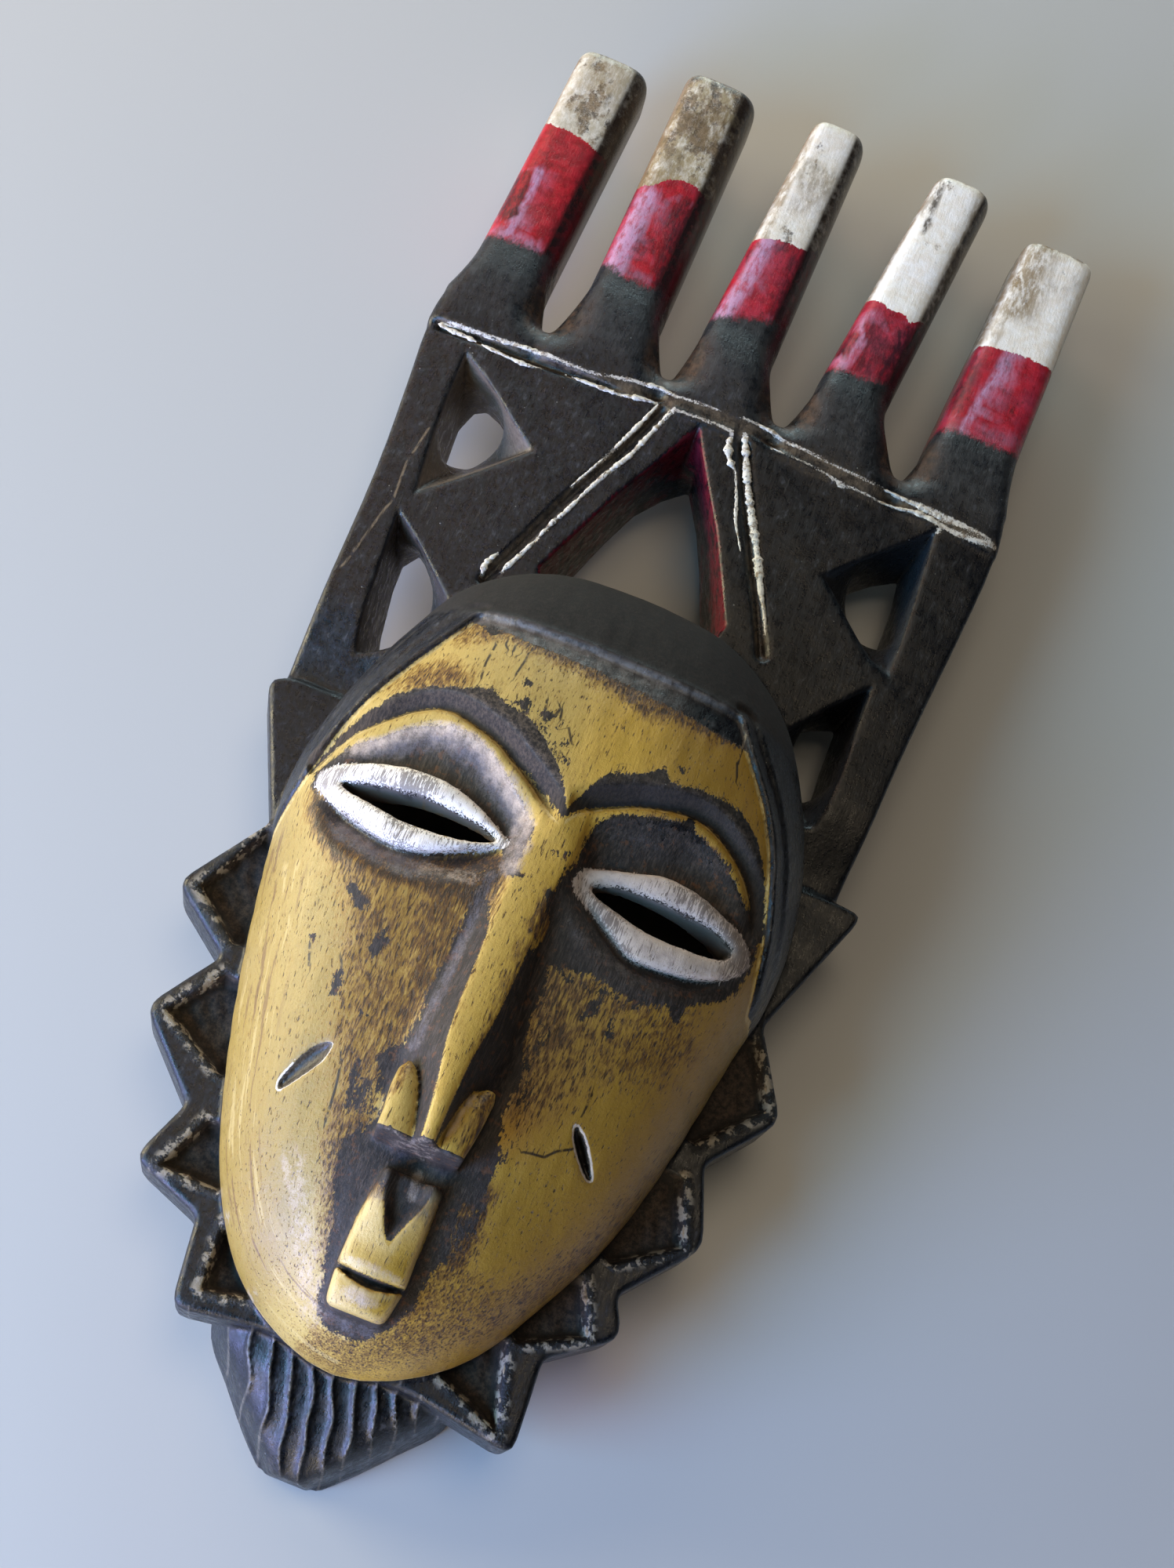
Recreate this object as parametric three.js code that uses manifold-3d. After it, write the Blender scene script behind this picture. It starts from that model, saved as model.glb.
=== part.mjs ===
// Carved wooden face mask with a five-pronged crest, lying face up on the rim of its hollow back.
// Millimetres. X is the mask's right-hand side in the picture, Y runs from the beard to the crest,
// Z comes out of the face. Heights along Y are counted from the tip of the beard while the mask is
// shaped, and the finished mesh is then placed with the middle of its footprint at the origin.

import * as THREE from 'three';
import Module from 'manifold-3d';
import { mergeVertices } from 'three/addons/utils/BufferGeometryUtils.js';

const wasm = await Module();
wasm.setup();

// Head: the shell behind and under the face
const headCentreY = 125;
const headChinY = 23.5;
const headCrownY = 230;
const headSideLeft = [
  [-25, 33], [-40, 52], [-50, 77], [-60, 116], [-65, 150], [-62, 172], [-54, 196], [-44, 215], [-26, 227],
];
const headSideRight = [
  [25, 35], [40, 57], [50, 79], [59, 118], [64, 150], [61, 177], [52, 200], [42, 215], [24, 227],
];
const rimLevel = 33;
const crownAtChin = 38;
const crownAtBrow = 46;
const crownRiseFrom = 60;
const crownRiseTo = 180;
const roundness = 3.2;
const backDraft = 3;
const wall = 9;
const headSteps = 56;

// Flange of pointed teeth round the lower head, with the ears above them
const flangeBack = 14;
const flangeFront = 32;
const flangeBevel = 2.4;
const toothRound = 4;
const valleyRound = 2;
const recessDepth = 4;
const earTop = 178;
const teethLeft = {
  ear: [-82, 175],
  valleys: [[-66, 140], [-63, 104], [-56, 68], [-43, 45], [-20, 27]],
  tips: [[-80.5, 117], [-74.5, 86], [-62, 52], [-40, 24]],
};
const teethRight = {
  ear: [80.5, 177],
  valleys: [[66, 140], [64, 102], [55, 65], [44, 45], [20, 26]],
  tips: [[78, 119], [70.5, 83], [59.5, 56], [45, 22]],
};

// Crest: a thick board with openings, carried on the crown of the head, and its five prongs
const crestBack = 11;
const crestFront = 39.5;
const crestFall = 4.5;
const crestHalfWidth = 82;
const profileReach = 96;
const profileSteps = 8;
const crestTopY = 299;
const crestSideLeft = [[-78, 176], [-79, 210], [-80, 240], [-82.5, 268], [-84.5, 287], [-84.3, 299]];
const crestSideRight = [[81.4, 299], [82, 288], [80, 262], [77.5, 238], [75, 210], [73, 176]];
const prongFootY = 288;
const prongValleyY = 300;
const prongRootY = 319;
const prongs = [
  { foot: [-84.2, -55.5], root: [-81, -59], tip: [-79, -57], top: 393 },
  { foot: [-53.5, -20.5], root: [-48.5, -26], tip: [-48, -25.5], top: 398.5 },
  { foot: [-18, 12.5], root: [-15, 6.5], tip: [-9, 8], top: 399.5 },
  { foot: [15.5, 48.5], root: [20, 40.5], tip: [30, 48], top: 399 },
  { foot: [51, 81.4], root: [55, 79.5], tip: [61, 82.5], top: 392 },
];
const prongBack = 12;
const prongThickness = 26;
const prongThinning = 1.5;
const footRaise = 0.6;
const prongSquareness = 3.4;
const footSquareness = 7;
const prongSides = 20;

// Openings of the crest: outline on the front and outline on the back
const openings = [
  {
    front: [[-6, 286], [9, 259], [20, 235], [18, 226], [-28, 226], [-30, 230], [-19, 258]],
    back: [[-4, 283], [8, 259], [17, 236], [15, 227], [-24, 227], [-26, 231], [-16, 259]],
  },
  {
    front: [[-72, 283], [-44.5, 261], [-56, 248], [-69, 234]],
    back: [[-65, 281], [-52, 275], [-58, 266], [-66, 259]],
  },
  {
    front: [[-70, 231], [-48, 211], [-54, 196], [-66, 186]],
    back: [[-65, 232], [-52, 222], [-54, 202], [-62, 196]],
  },
  {
    front: [[64, 287], [66, 240], [58, 243], [40, 260]],
    back: [[60, 280], [62, 264], [58, 262], [48, 269]],
  },
  {
    front: [[62, 236], [62, 192], [56, 190], [45, 214]],
    back: [[59, 231], [59, 206], [54, 206], [48, 222]],
  },
];
const openingOverrun = 12;

// Cut lines of the crest, as V grooves
const grooveWidth = 4;
const grooveDepth = 2.2;
const grooves = [
  [[-82, 286], [-40, 289.5], [0, 293.5], [40, 290.5], [81, 288]],
  [[-15, 291], [-30, 254], [-43, 221]],
  [[5, 291], [19, 261], [32, 229]],
];

// Face: sockets, lids, brows, nose, mouth block, cheek scars and the raised hair cap
const hairlineY = 198;
const capRaise = 1.8;
const templeY = 146;
const templeShare = 0.88;
const browLeft = [[-56, 146], [-50, 157], [-42, 167], [-31, 171.5], [-20, 169], [-10, 163], [-1, 155]];
const browRight = [[1, 155], [9, 164], [18, 170], [29, 171.5], [39, 167], [46, 158], [50, 149]];
const browDepth = 3.5;
const browWidth = 7;
const socketFloor = 67;
const socketTilt = 0.16;
const socketFoot = 131;
const eyes = [
  { outer: [-56, 142], top: [-30, 153.5], inner: [-9, 143], bottom: [-32, 133.5] },
  { outer: [53, 142], top: [28, 152], inner: [9, 143], bottom: [29, 129.5] },
];
const eyeSlits = [
  { outer: [-50, 143.5], top: [-30, 147.5], inner: [-15, 143], bottom: [-32, 140.5] },
  { outer: [49, 141.5], top: [29, 145.5], inner: [12, 142], bottom: [32, 138] },
];
const lidTop = 73.5;
const noseStations = [
  { y: 154, base: 8, ridge: 3, top: 76 }, { y: 132, base: 12, ridge: 4.5, top: 79.5 },
  { y: 97, base: 13.5, ridge: 4, top: 84.5 }, { y: 78, base: 11, ridge: 2.4, top: 88 },
  { y: 69.5, base: 7, ridge: 2, top: 87 },
];
const noseCentreX = -1.5;
const noseSkirt = 14;
const faceUnder = 56;
const wings = [{ x: -8, tipX: -8.5 }, { x: 5, tipX: 5.5 }];
const wingHalfWidth = 4;
const wingFoot = 69.5;
const wingHead = 85.5;
const wingTop = 81;
const mouth = { left: -8, right: 7.5, bottom: 33.5, top: 61.5, slit: 41.5 };
const mouthFrontLow = 63;
const mouthFrontHigh = 71.5;
const mouthUnder = 45;
const lipCutWidth = 2.4;
const lipCutDepth = 5;
const scars = [{ from: [-29, 85], to: [-36, 71] }, { from: [28, 90.5], to: [36.5, 77] }];
const scarHalfWidth = 2;
const scarDepth = 3;

// Beard: a drafted wedge under the chin with lengthwise locks
const beardStations = [
  { y: 34, half: 31, foot: 33, front: 28 }, { y: 24, half: 25, foot: 30, front: 27 },
  { y: 15, half: 17.5, foot: 22, front: 24 }, { y: 6.5, half: 10.5, foot: 14, front: 20 },
  { y: 0, half: 4.5, foot: 7, front: 15 },
];
const lockWidth = 6.6;
const lockDepth = 1.4;
const lockSway = 1.6;
const beardColumns = 40;

const woodMaterial = new THREE.MeshStandardMaterial({ color: 0x3a3531, roughness: 0.55, metalness: 0 });

// Turns triangles into a solid, and a solid into a mesh geometry
function toSolid(positions, triangles) {
  const loose = new THREE.BufferGeometry();
  loose.setAttribute('position', new THREE.Float32BufferAttribute(positions, 3));
  loose.setIndex(triangles);
  return solidOf(loose);
}

function solidOf(geometry) {
  const bare = geometry.clone();
  bare.deleteAttribute('normal');
  bare.deleteAttribute('uv');
  const merged = mergeVertices(bare, 1e-4);
  return new wasm.Manifold(new wasm.Mesh({
    numProp: 3,
    vertProperties: new Float32Array(merged.attributes.position.array),
    triVerts: new Uint32Array(merged.index.array),
  }));
}

function geometryOf(solid) {
  const mesh = solid.getMesh();
  const geometry = new THREE.BufferGeometry();
  geometry.setAttribute('position', new THREE.BufferAttribute(new Float32Array(mesh.vertProperties), 3));
  geometry.setIndex(new THREE.BufferAttribute(new Uint32Array(mesh.triVerts), 1));
  return geometry;
}

// A closed solid through rings of points, from the lowest ring to the highest, with flat ends
function loft(rings) {
  const count = rings[0].length;
  const positions = rings.flat(2);
  const triangles = [];
  for (let ring = 0; ring + 1 < rings.length; ring += 1) {
    for (let i = 0; i < count; i += 1) {
      const a = ring * count + i;
      const b = ring * count + (i + 1) % count;
      triangles.push(a, b, b + count, a, b + count, a + count);
    }
  }
  addCap(rings[0], 0, triangles, true);
  addCap(rings[rings.length - 1], (rings.length - 1) * count, triangles, false);
  return toSolid(positions, triangles);
}

function addCap(ring, offset, triangles, facesDown) {
  const flat = ring.map(([x, y]) => new THREE.Vector2(x, y));
  for (const [a, b, c] of THREE.ShapeUtils.triangulateShape(flat, [])) {
    if (facesDown) triangles.push(offset + a, offset + c, offset + b);
    else triangles.push(offset + a, offset + b, offset + c);
  }
}

function anticlockwise(points) {
  const flat = points.map(([x, y]) => new THREE.Vector2(x, y));
  return THREE.ShapeUtils.area(flat) < 0 ? points.slice().reverse() : points;
}

// A prism between two outlines with the same number of points, carried on past both heights
function taperedPrism(back, front, zBack, zFront, over = 0) {
  const reversed = anticlockwise(back) !== back;
  const low = reversed ? back.slice().reverse() : back;
  const high = reversed ? front.slice().reverse() : front;
  const at = (z) => low.map(([x, y], i) => {
    const t = (z - zBack) / (zFront - zBack);
    return [x + (high[i][0] - x) * t, y + (high[i][1] - y) * t, z];
  });
  return loft([at(zBack - over), at(zFront + over)]);
}

function prism(outline, z0, z1) {
  return taperedPrism(outline, outline, z0, z1);
}

function smoothLine(points, steps, closed = false) {
  const knots = points.map(([x, y]) => new THREE.Vector3(x, y, 0));
  const curve = new THREE.CatmullRomCurve3(knots, closed, 'centripetal');
  const samples = curve.getPoints(steps).map((p) => [p.x, p.y]);
  return closed ? samples.slice(0, -1) : samples;
}

// Rounds the corners of an outline: each corner becomes a short curve that starts and ends `reach` away
function softened(corners, reachOf, steps = 3) {
  return corners.flatMap(([x, y], i) => {
    const before = corners[(i + corners.length - 1) % corners.length];
    const after = corners[(i + 1) % corners.length];
    const reach = reachOf(i);
    if (reach === 0) return [[x, y]];
    const towards = ([tx, ty]) => {
      const share = Math.min(reach / Math.hypot(tx - x, ty - y), 0.45);
      return new THREE.Vector2(x + (tx - x) * share, y + (ty - y) * share);
    };
    const bend = new THREE.QuadraticBezierCurve(towards(before), new THREE.Vector2(x, y), towards(after));
    return bend.getPoints(steps).map((p) => [p.x, p.y]);
  });
}

// Moves an anticlockwise outline inwards by a distance, square to the line through each point's neighbours
function inset(points, distance) {
  return points.map(([x, y], i) => {
    const before = points[(i + points.length - 1) % points.length];
    const after = points[(i + 1) % points.length];
    const run = Math.hypot(after[0] - before[0], after[1] - before[1]);
    return [x - ((after[1] - before[1]) / run) * distance, y + ((after[0] - before[0]) / run) * distance];
  });
}

// An almond outline: two arcs that meet in points
function almond({ outer, top, inner, bottom }, steps = 6) {
  const over = smoothLine([outer, top, inner], steps);
  const under = smoothLine([inner, bottom, outer], steps);
  return [...over.slice(0, -1), ...under.slice(0, -1)];
}

// A line of V cuts whose middle follows a path, at the height that depthAt gives
function vGroove(path, width, topAt, depth) {
  const half = width / 2;
  const lift = 6;
  const rings = path.map(([x, y], i) => {
    const [ax, ay] = path[Math.max(i - 1, 0)];
    const [bx, by] = path[Math.min(i + 1, path.length - 1)];
    const run = Math.hypot(bx - ax, by - ay);
    const side = [-(by - ay) / run, (bx - ax) / run];
    const top = topAt(x, y);
    const spread = half * (1 + lift / depth);
    return [
      [x - side[0] * spread, y - side[1] * spread, top + lift],
      [x, y, top - depth],
      [x + side[0] * spread, y + side[1] * spread, top + lift],
    ];
  });
  return sweep(rings);
}

// A closed solid through rings that stand across a path, with the end rings filled as fans
function sweep(rings) {
  const count = rings[0].length;
  const triangles = [];
  for (let ring = 0; ring + 1 < rings.length; ring += 1) {
    for (let i = 0; i < count; i += 1) {
      const a = ring * count + i;
      const b = ring * count + (i + 1) % count;
      triangles.push(a, b, b + count, a, b + count, a + count);
    }
  }
  const last = (rings.length - 1) * count;
  for (let i = 1; i + 1 < count; i += 1) {
    triangles.push(0, i + 1, i);
    triangles.push(last, last + i, last + i + 1);
  }
  const solid = toSolid(rings.flat(2), triangles);
  if (solid.volume() > 0) return solid;
  const turned = triangles.map((_, i) => triangles[i - (i % 3) + [0, 2, 1][i % 3]]);
  return toSolid(rings.flat(2), turned);
}

function unionOf(solids) {
  return solids.reduce((joined, solid) => joined.add(solid));
}

// Head outline seen from the front, and the height of the bare face over it
function headOutline() {
  const right = headSideRight.map(([x, y]) => [x, y]);
  const left = headSideLeft.slice().reverse();
  return smoothLine([[0, headChinY], ...right, [0, headCrownY], ...left], headSteps, true);
}

function crownAt(y) {
  const t = THREE.MathUtils.smoothstep(y, crownRiseFrom, crownRiseTo);
  return crownAtChin + (crownAtBrow - crownAtChin) * t;
}

function ringScale(edge, share, inset) {
  const reach = Math.hypot(edge[0], edge[1] - headCentreY);
  return share * (reach - inset) / reach;
}

// The domed head, or with an inset its hollow inside
function dome(inset, raise, floor) {
  const edges = headOutline();
  const ringAt = (share, z, draft) => edges.map((edge) => {
    const scale = ringScale(edge, share, inset + draft);
    const x = edge[0] * scale;
    const y = headCentreY + (edge[1] - headCentreY) * scale;
    return [x, y, z(share, y)];
  });
  const crown = (share, y) => rimLevel + (crownAt(y) + raise - inset) * Math.sqrt(1 - share ** roundness);
  const shares = [0.985, 0.95, 0.89, 0.8, 0.67, 0.48, 0.24];
  return loft([
    ringAt(1, () => floor, backDraft),
    ringAt(1, () => rimLevel, 0),
    ...shares.map((share) => ringAt(share, crown, 0)),
  ]);
}

// The head with its raised hair: the cap over the hairline, and a narrow border down both temples
function makeHead() {
  const raised = dome(-capRaise * 0.4, capRaise * 0.6, rimLevel - 2);
  const above = (y) => prism([[-90, y], [90, y], [90, 260], [-90, 260]], rimLevel, 110);
  const faceOpening = headOutline().map(([x, y]) => {
    return [x * templeShare, headCentreY + (y - headCentreY) * templeShare];
  });
  const temples = raised.intersect(above(templeY)).subtract(prism(faceOpening, 0, 120));
  return unionOf([dome(0, 0, 0), raised.intersect(above(hairlineY)), temples]);
}

// Flange outline from the ears down both sides, with the teeth
function flangeSide({ ear, valleys, tips }, sign) {
  const corners = [[sign * 30, earTop], [sign * 76, earTop], ear, valleys[0]];
  tips.forEach((tip, i) => corners.push(tip, valleys[i + 1]));
  return corners;
}

function makeFlange() {
  const left = flangeSide(teethLeft, -1);
  const right = flangeSide(teethRight, 1).reverse();
  const corners = [...left, ...right];
  const sharpest = new Set([teethLeft, teethRight].flatMap((side) => [side.ear, ...side.tips]));
  const reachOf = (i) => (sharpest.has(corners[i]) ? toothRound : valleyRound);
  const outline = anticlockwise(softened(corners, reachOf));
  const flange = loft([
    outline.map(([x, y]) => [x, y, flangeBack]),
    outline.map(([x, y]) => [x, y, flangeFront - flangeBevel]),
    inset(outline, flangeBevel * 0.8).map(([x, y]) => [x, y, flangeFront]),
  ]);
  return [teethLeft, teethRight].flatMap(toothRecesses).reduce((solid, cut) => solid.subtract(cut), flange);
}

// Sunk triangle in each tooth, a border's width inside it and open towards the head
function toothRecesses({ valleys, tips }) {
  const border = 6;
  return tips.map((tip, i) => {
    const rootMiddle = [(valleys[i][0] + valleys[i + 1][0]) / 2, (valleys[i][1] + valleys[i + 1][1]) / 2];
    const inward = new THREE.Vector2(rootMiddle[0] - tip[0], rootMiddle[1] - tip[1]).normalize();
    const peak = [tip[0] + inward.x * border * 1.4, tip[1] + inward.y * border * 1.4];
    const shrink = 0.72;
    const foot = (valley) => [
      rootMiddle[0] + (valley[0] - rootMiddle[0]) * shrink + inward.x * 4,
      rootMiddle[1] + (valley[1] - rootMiddle[1]) * shrink + inward.y * 4,
    ];
    const outline = [peak, foot(valleys[i]), foot(valleys[i + 1])];
    return prism(anticlockwise(outline), flangeFront - recessDepth, flangeFront + 2);
  });
}

// Crest board with its curved front, the prongs and the openings
function crestFrontAt(x) {
  return crestFront - crestFall * (x / crestHalfWidth) ** 2;
}

function makeCrest() {
  const outline = [...smoothLine(crestSideLeft, 12), ...smoothLine(crestSideRight, 12)];
  const board = prism(anticlockwise(outline), crestBack - 5, crestFront + 5);
  const steps = Array.from({ length: 2 * profileSteps + 1 }, (_, i) => i / profileSteps - 1);
  const curved = steps.map((step) => [step * profileReach, crestFrontAt(step * profileReach)]);
  const section = [[-profileReach, crestBack], ...curved, [profileReach, crestBack]];
  const profile = sweep([150, 420].map((y) => section.map(([x, z]) => [x, y, z])));
  const openingLevel = crestFront - 2;
  const cuts = openings.map(({ back, front }) => {
    return taperedPrism(back, front, crestBack, openingLevel, openingOverrun);
  });
  const solid = unionOf([board.intersect(profile), ...prongs.map(makeProng)]);
  return [...cuts, ...grooves.map(makeGroove)].reduce((rest, cut) => rest.subtract(cut), solid);
}

function makeGroove(path) {
  return vGroove(smoothLine(path, 10), grooveWidth, (x) => crestFrontAt(x), grooveDepth);
}

// One prong: it spreads into its neighbours at the foot, and leans from the root to the tip
function makeProng({ foot, root, tip, top }) {
  const roundOver = 3;
  const middleY = (prongRootY + top) / 2;
  const valleys = [0, 0.3, 0.65].map((share) => THREE.MathUtils.lerp(prongValleyY, prongRootY, share));
  const stations = [prongFootY, ...valleys, prongRootY, middleY, top - roundOver, top - roundOver / 3, top];
  return sweep(stations.map((y, i) => {
    const along = Math.max(0, (y - prongRootY) / (top - prongRootY));
    const spread = THREE.MathUtils.clamp((prongRootY - y) / (prongRootY - prongValleyY), 0, 1) ** 2;
    const taper = [1 / 3, 1].map((share) => share * roundOver)[i - stations.length + 2] ?? 0;
    const { lerp } = THREE.MathUtils;
    const edges = [0, 1].map((side) => lerp(lerp(root[side], tip[side], along), foot[side], spread));
    const left = edges[0] + taper;
    const right = edges[1] - taper;
    const middleX = (left + right) / 2;
    const front = crestFrontAt(middleX) + footRaise * spread - prongThinning * along - taper;
    const back = Math.max(front - prongThickness, prongBack) + taper;
    const centre = [middleX, y, (front + back) / 2];
    const squareness = lerp(prongSquareness, footSquareness, spread);
    return squareRound(centre, (right - left) / 2, (front - back) / 2, squareness);
  }));
}

// A ring across Y, between an ellipse and a rectangle as its squareness grows
function squareRound([x, y, z], halfX, halfZ, squareness) {
  const bulge = (value) => Math.sign(value) * Math.abs(value) ** (2 / squareness);
  return Array.from({ length: prongSides }, (_, i) => {
    const turn = ((i + 0.5) / prongSides) * Math.PI * 2;
    return [x + halfX * bulge(Math.cos(turn)), y, z + halfZ * bulge(Math.sin(turn))];
  });
}

// Beard wedge: sections along Y from under the chin to the tip, with a rippled front
function makeBeard() {
  const rings = beardStations.map(({ y, half, foot, front }) => {
    const section = [[foot, y, 0]];
    for (let i = 0; i <= beardColumns; i += 1) {
      const u = 1 - (2 * i) / beardColumns;
      const sway = lockSway * Math.sin(y * 0.2);
      const ripple = lockDepth * Math.cos(((u * half + sway) / lockWidth) * Math.PI * 2);
      section.push([u * half, y, front - 5 * u ** 4 + ripple]);
    }
    section.push([-foot, y, 0]);
    return section;
  });
  return sweep(rings);
}

// Height of the bare face at a point, for cuts that follow it
function faceAt(x, y) {
  const outline = headOutline();
  const turn = Math.atan2(y - headCentreY, x);
  let reach = 1;
  outline.forEach((edge, i) => {
    const next = outline[(i + 1) % outline.length];
    const a = Math.atan2(edge[1] - headCentreY, edge[0]);
    const gap = Math.atan2(Math.sin(turn - a), Math.cos(turn - a));
    const b = Math.atan2(next[1] - headCentreY, next[0]);
    const step = Math.atan2(Math.sin(b - a), Math.cos(b - a));
    if (gap >= 0 && gap <= step) {
      const t = gap / step;
      reach = Math.hypot(edge[0] + (next[0] - edge[0]) * t, edge[1] + (next[1] - edge[1]) * t - headCentreY);
    }
  });
  const share = Math.min(Math.hypot(x, y - headCentreY) / reach, 0.999);
  return rimLevel + crownAt(y) * Math.sqrt(1 - share ** roundness);
}

// Eye socket: everything over a tilted floor, between the brow and the foot of the socket
function makeSocket(brow) {
  const upper = smoothLine(brow, 10);
  const middleX = (brow[0][0] + brow[brow.length - 1][0]) / 2;
  const outline = anticlockwise([...upper, [middleX + 16, socketFoot], [middleX - 16, socketFoot]]);
  const floorAt = (y) => socketFloor + (172 - y) * socketTilt;
  return loft([outline.map(([x, y]) => [x, y, floorAt(y)]), outline.map(([x, y]) => [x, y, 110])]);
}

function makeLid(eye) {
  const outline = anticlockwise(almond(eye));
  const middle = [(eye.outer[0] + eye.inner[0]) / 2, (eye.top[1] + eye.bottom[1]) / 2];
  const scaled = (share, z) => outline.map(([x, y]) => [
    middle[0] + (x - middle[0]) * share,
    middle[1] + (y - middle[1]) * share,
    z,
  ]);
  return loft([scaled(1, faceUnder), scaled(1, lidTop - 4), scaled(0.93, lidTop - 1.2), scaled(0.7, lidTop)]);
}

function makeNose() {
  return sweep(noseStations.map(({ y, base, ridge, top }) => [
    [noseCentreX - base, y, faceUnder],
    [noseCentreX + base, y, faceUnder],
    [noseCentreX + base, y, top - noseSkirt],
    [noseCentreX + ridge, y, top],
    [noseCentreX - ridge, y, top],
    [noseCentreX - base, y, top - noseSkirt],
  ]));
}

function makeWing({ x, tipX }) {
  const outline = almond({
    outer: [x, wingFoot - 1],
    top: [x - wingHalfWidth, wingFoot + 6],
    inner: [tipX, wingHead],
    bottom: [x + wingHalfWidth, wingFoot + 6],
  });
  const flatFoot = prism([[-30, wingFoot], [30, wingFoot], [30, 120], [-30, 120]], faceUnder, 100);
  const middle = [x, wingFoot + 7];
  const scaled = (share, z) => anticlockwise(outline).map(([px, py]) => [
    middle[0] + (px - middle[0]) * share,
    middle[1] + (py - middle[1]) * share,
    z,
  ]);
  return loft([scaled(1, faceUnder), scaled(1, wingTop - 4), scaled(0.6, wingTop)]).intersect(flatFoot);
}

// Mouth block that leans with the face, and the cut of the lips and the sunk V in its front
function mouthFrontAt(y) {
  const t = (y - mouth.bottom) / (mouth.top - mouth.bottom);
  return THREE.MathUtils.lerp(mouthFrontLow, mouthFrontHigh, t);
}

function makeMouthBlock() {
  const { left, right, bottom, top } = mouth;
  const base = softened([[left, bottom], [right, bottom], [right + 1, top], [left - 1, top]], () => 3, 2);
  const low = base.map(([x, y]) => [x, y, mouthUnder]);
  const edge = base.map(([x, y]) => [x, y, mouthFrontAt(y) - 2.5]);
  const front = inset(base, 1.6).map(([x, y]) => [x, y, mouthFrontAt(y)]);
  return loft([low, edge, front]);
}

function makeMouthCuts() {
  const { left, right, slit } = mouth;
  const lips = [[left - 3, slit + 0.4], [0, slit - 0.6], [right + 3, slit + 0.4]];
  const lipCut = vGroove(lips, lipCutWidth, (x, y) => mouthFrontAt(y), lipCutDepth);
  const front = mouthFrontAt(mouth.top);
  const low = [[-1.5, 66], [1.5, 66], [0, 53]];
  const high = [[-8, 70], [7, 70], [0, 46]];
  const philtrum = taperedPrism(low, high, front - 6, front + 6);
  return [lipCut, philtrum];
}

function makeScar({ from, to }) {
  const middle = [(from[0] + to[0]) / 2, (from[1] + to[1]) / 2];
  const run = Math.hypot(to[0] - from[0], to[1] - from[1]);
  const side = [(-(to[1] - from[1]) / run) * scarHalfWidth, ((to[0] - from[0]) / run) * scarHalfWidth];
  const outline = anticlockwise(almond({
    outer: from,
    top: [middle[0] + side[0], middle[1] + side[1]],
    inner: to,
    bottom: [middle[0] - side[0], middle[1] - side[1]],
  }));
  const depth = faceAt(...middle) - scarDepth;
  return prism(outline, depth, depth + 20);
}

function makeMask() {
  const browCuts = [browLeft, browRight].map((brow) => (
    vGroove(smoothLine(brow, 10), browWidth, (x, y) => faceAt(x, y), browDepth)
  ));
  const sunk = [makeSocket(browLeft), makeSocket(browRight), ...browCuts];
  const raised = [...eyes.map(makeLid), makeNose(), ...wings.map(makeWing), makeMouthBlock()];
  const slits = eyeSlits.map((slit) => prism(anticlockwise(almond(slit)), -5, 110));
  const face = sunk.reduce((rest, cut) => rest.subtract(cut), makeHead());
  const outside = unionOf([face, ...raised, makeFlange(), makeCrest(), makeBeard()]);
  const cuts = [dome(wall, 0, -4), ...slits, ...makeMouthCuts(), ...scars.map(makeScar)];
  return cuts.reduce((rest, cut) => rest.subtract(cut), outside);
}

const geometry = geometryOf(makeMask());
geometry.computeBoundingBox();
geometry.computeVertexNormals();
const middle = geometry.boundingBox.getCenter(new THREE.Vector3());
geometry.translate(-middle.x, -middle.y, 0);

const mask = new THREE.Mesh(geometry, woodMaterial);
mask.name = 'mask';

const yaureMask = new THREE.Group();
yaureMask.add(mask);

export default yaureMask;
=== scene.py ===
"""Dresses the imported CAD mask: carved relief, paint and patina, paint beads, floor, lights and camera.

The relief is worked out in millimetres in the carver's own frame: x to the right, y from the tip of the
beard to the crest, z out of the face. Every finished mesh is in the row frame, in metres.
"""

import math
from types import SimpleNamespace

import bpy
import numpy as np
from bpy.props import FloatProperty, FloatVectorProperty, IntProperty, PointerProperty
from bpy.types import Operator, Panel, PropertyGroup
from mathutils import Matrix, Vector


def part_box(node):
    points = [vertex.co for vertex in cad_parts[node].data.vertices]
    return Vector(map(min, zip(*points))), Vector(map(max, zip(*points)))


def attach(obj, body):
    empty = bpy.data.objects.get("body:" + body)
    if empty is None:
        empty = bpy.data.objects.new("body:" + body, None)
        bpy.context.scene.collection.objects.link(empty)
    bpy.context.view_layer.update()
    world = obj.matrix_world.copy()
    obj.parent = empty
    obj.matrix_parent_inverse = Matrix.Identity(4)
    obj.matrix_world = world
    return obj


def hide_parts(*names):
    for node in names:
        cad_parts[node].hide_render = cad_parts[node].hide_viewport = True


bl_info = {
    "name": "Carved crest mask",
    "version": (1, 0, 0),
    "blender": (4, 5, 0),
    "location": "View3D > Sidebar > Mask",
    "description": "Carved and painted wooden face mask with a pronged crest, dressed over its CAD solid",
    "category": "Object",
}

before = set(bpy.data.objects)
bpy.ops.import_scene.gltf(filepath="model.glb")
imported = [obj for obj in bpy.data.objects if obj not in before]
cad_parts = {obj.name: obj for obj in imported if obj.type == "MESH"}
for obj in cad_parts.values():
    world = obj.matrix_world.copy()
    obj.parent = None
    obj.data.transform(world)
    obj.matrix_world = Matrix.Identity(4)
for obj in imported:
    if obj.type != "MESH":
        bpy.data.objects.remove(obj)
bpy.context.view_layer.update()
CAD_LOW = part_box("mask")[0]

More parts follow.
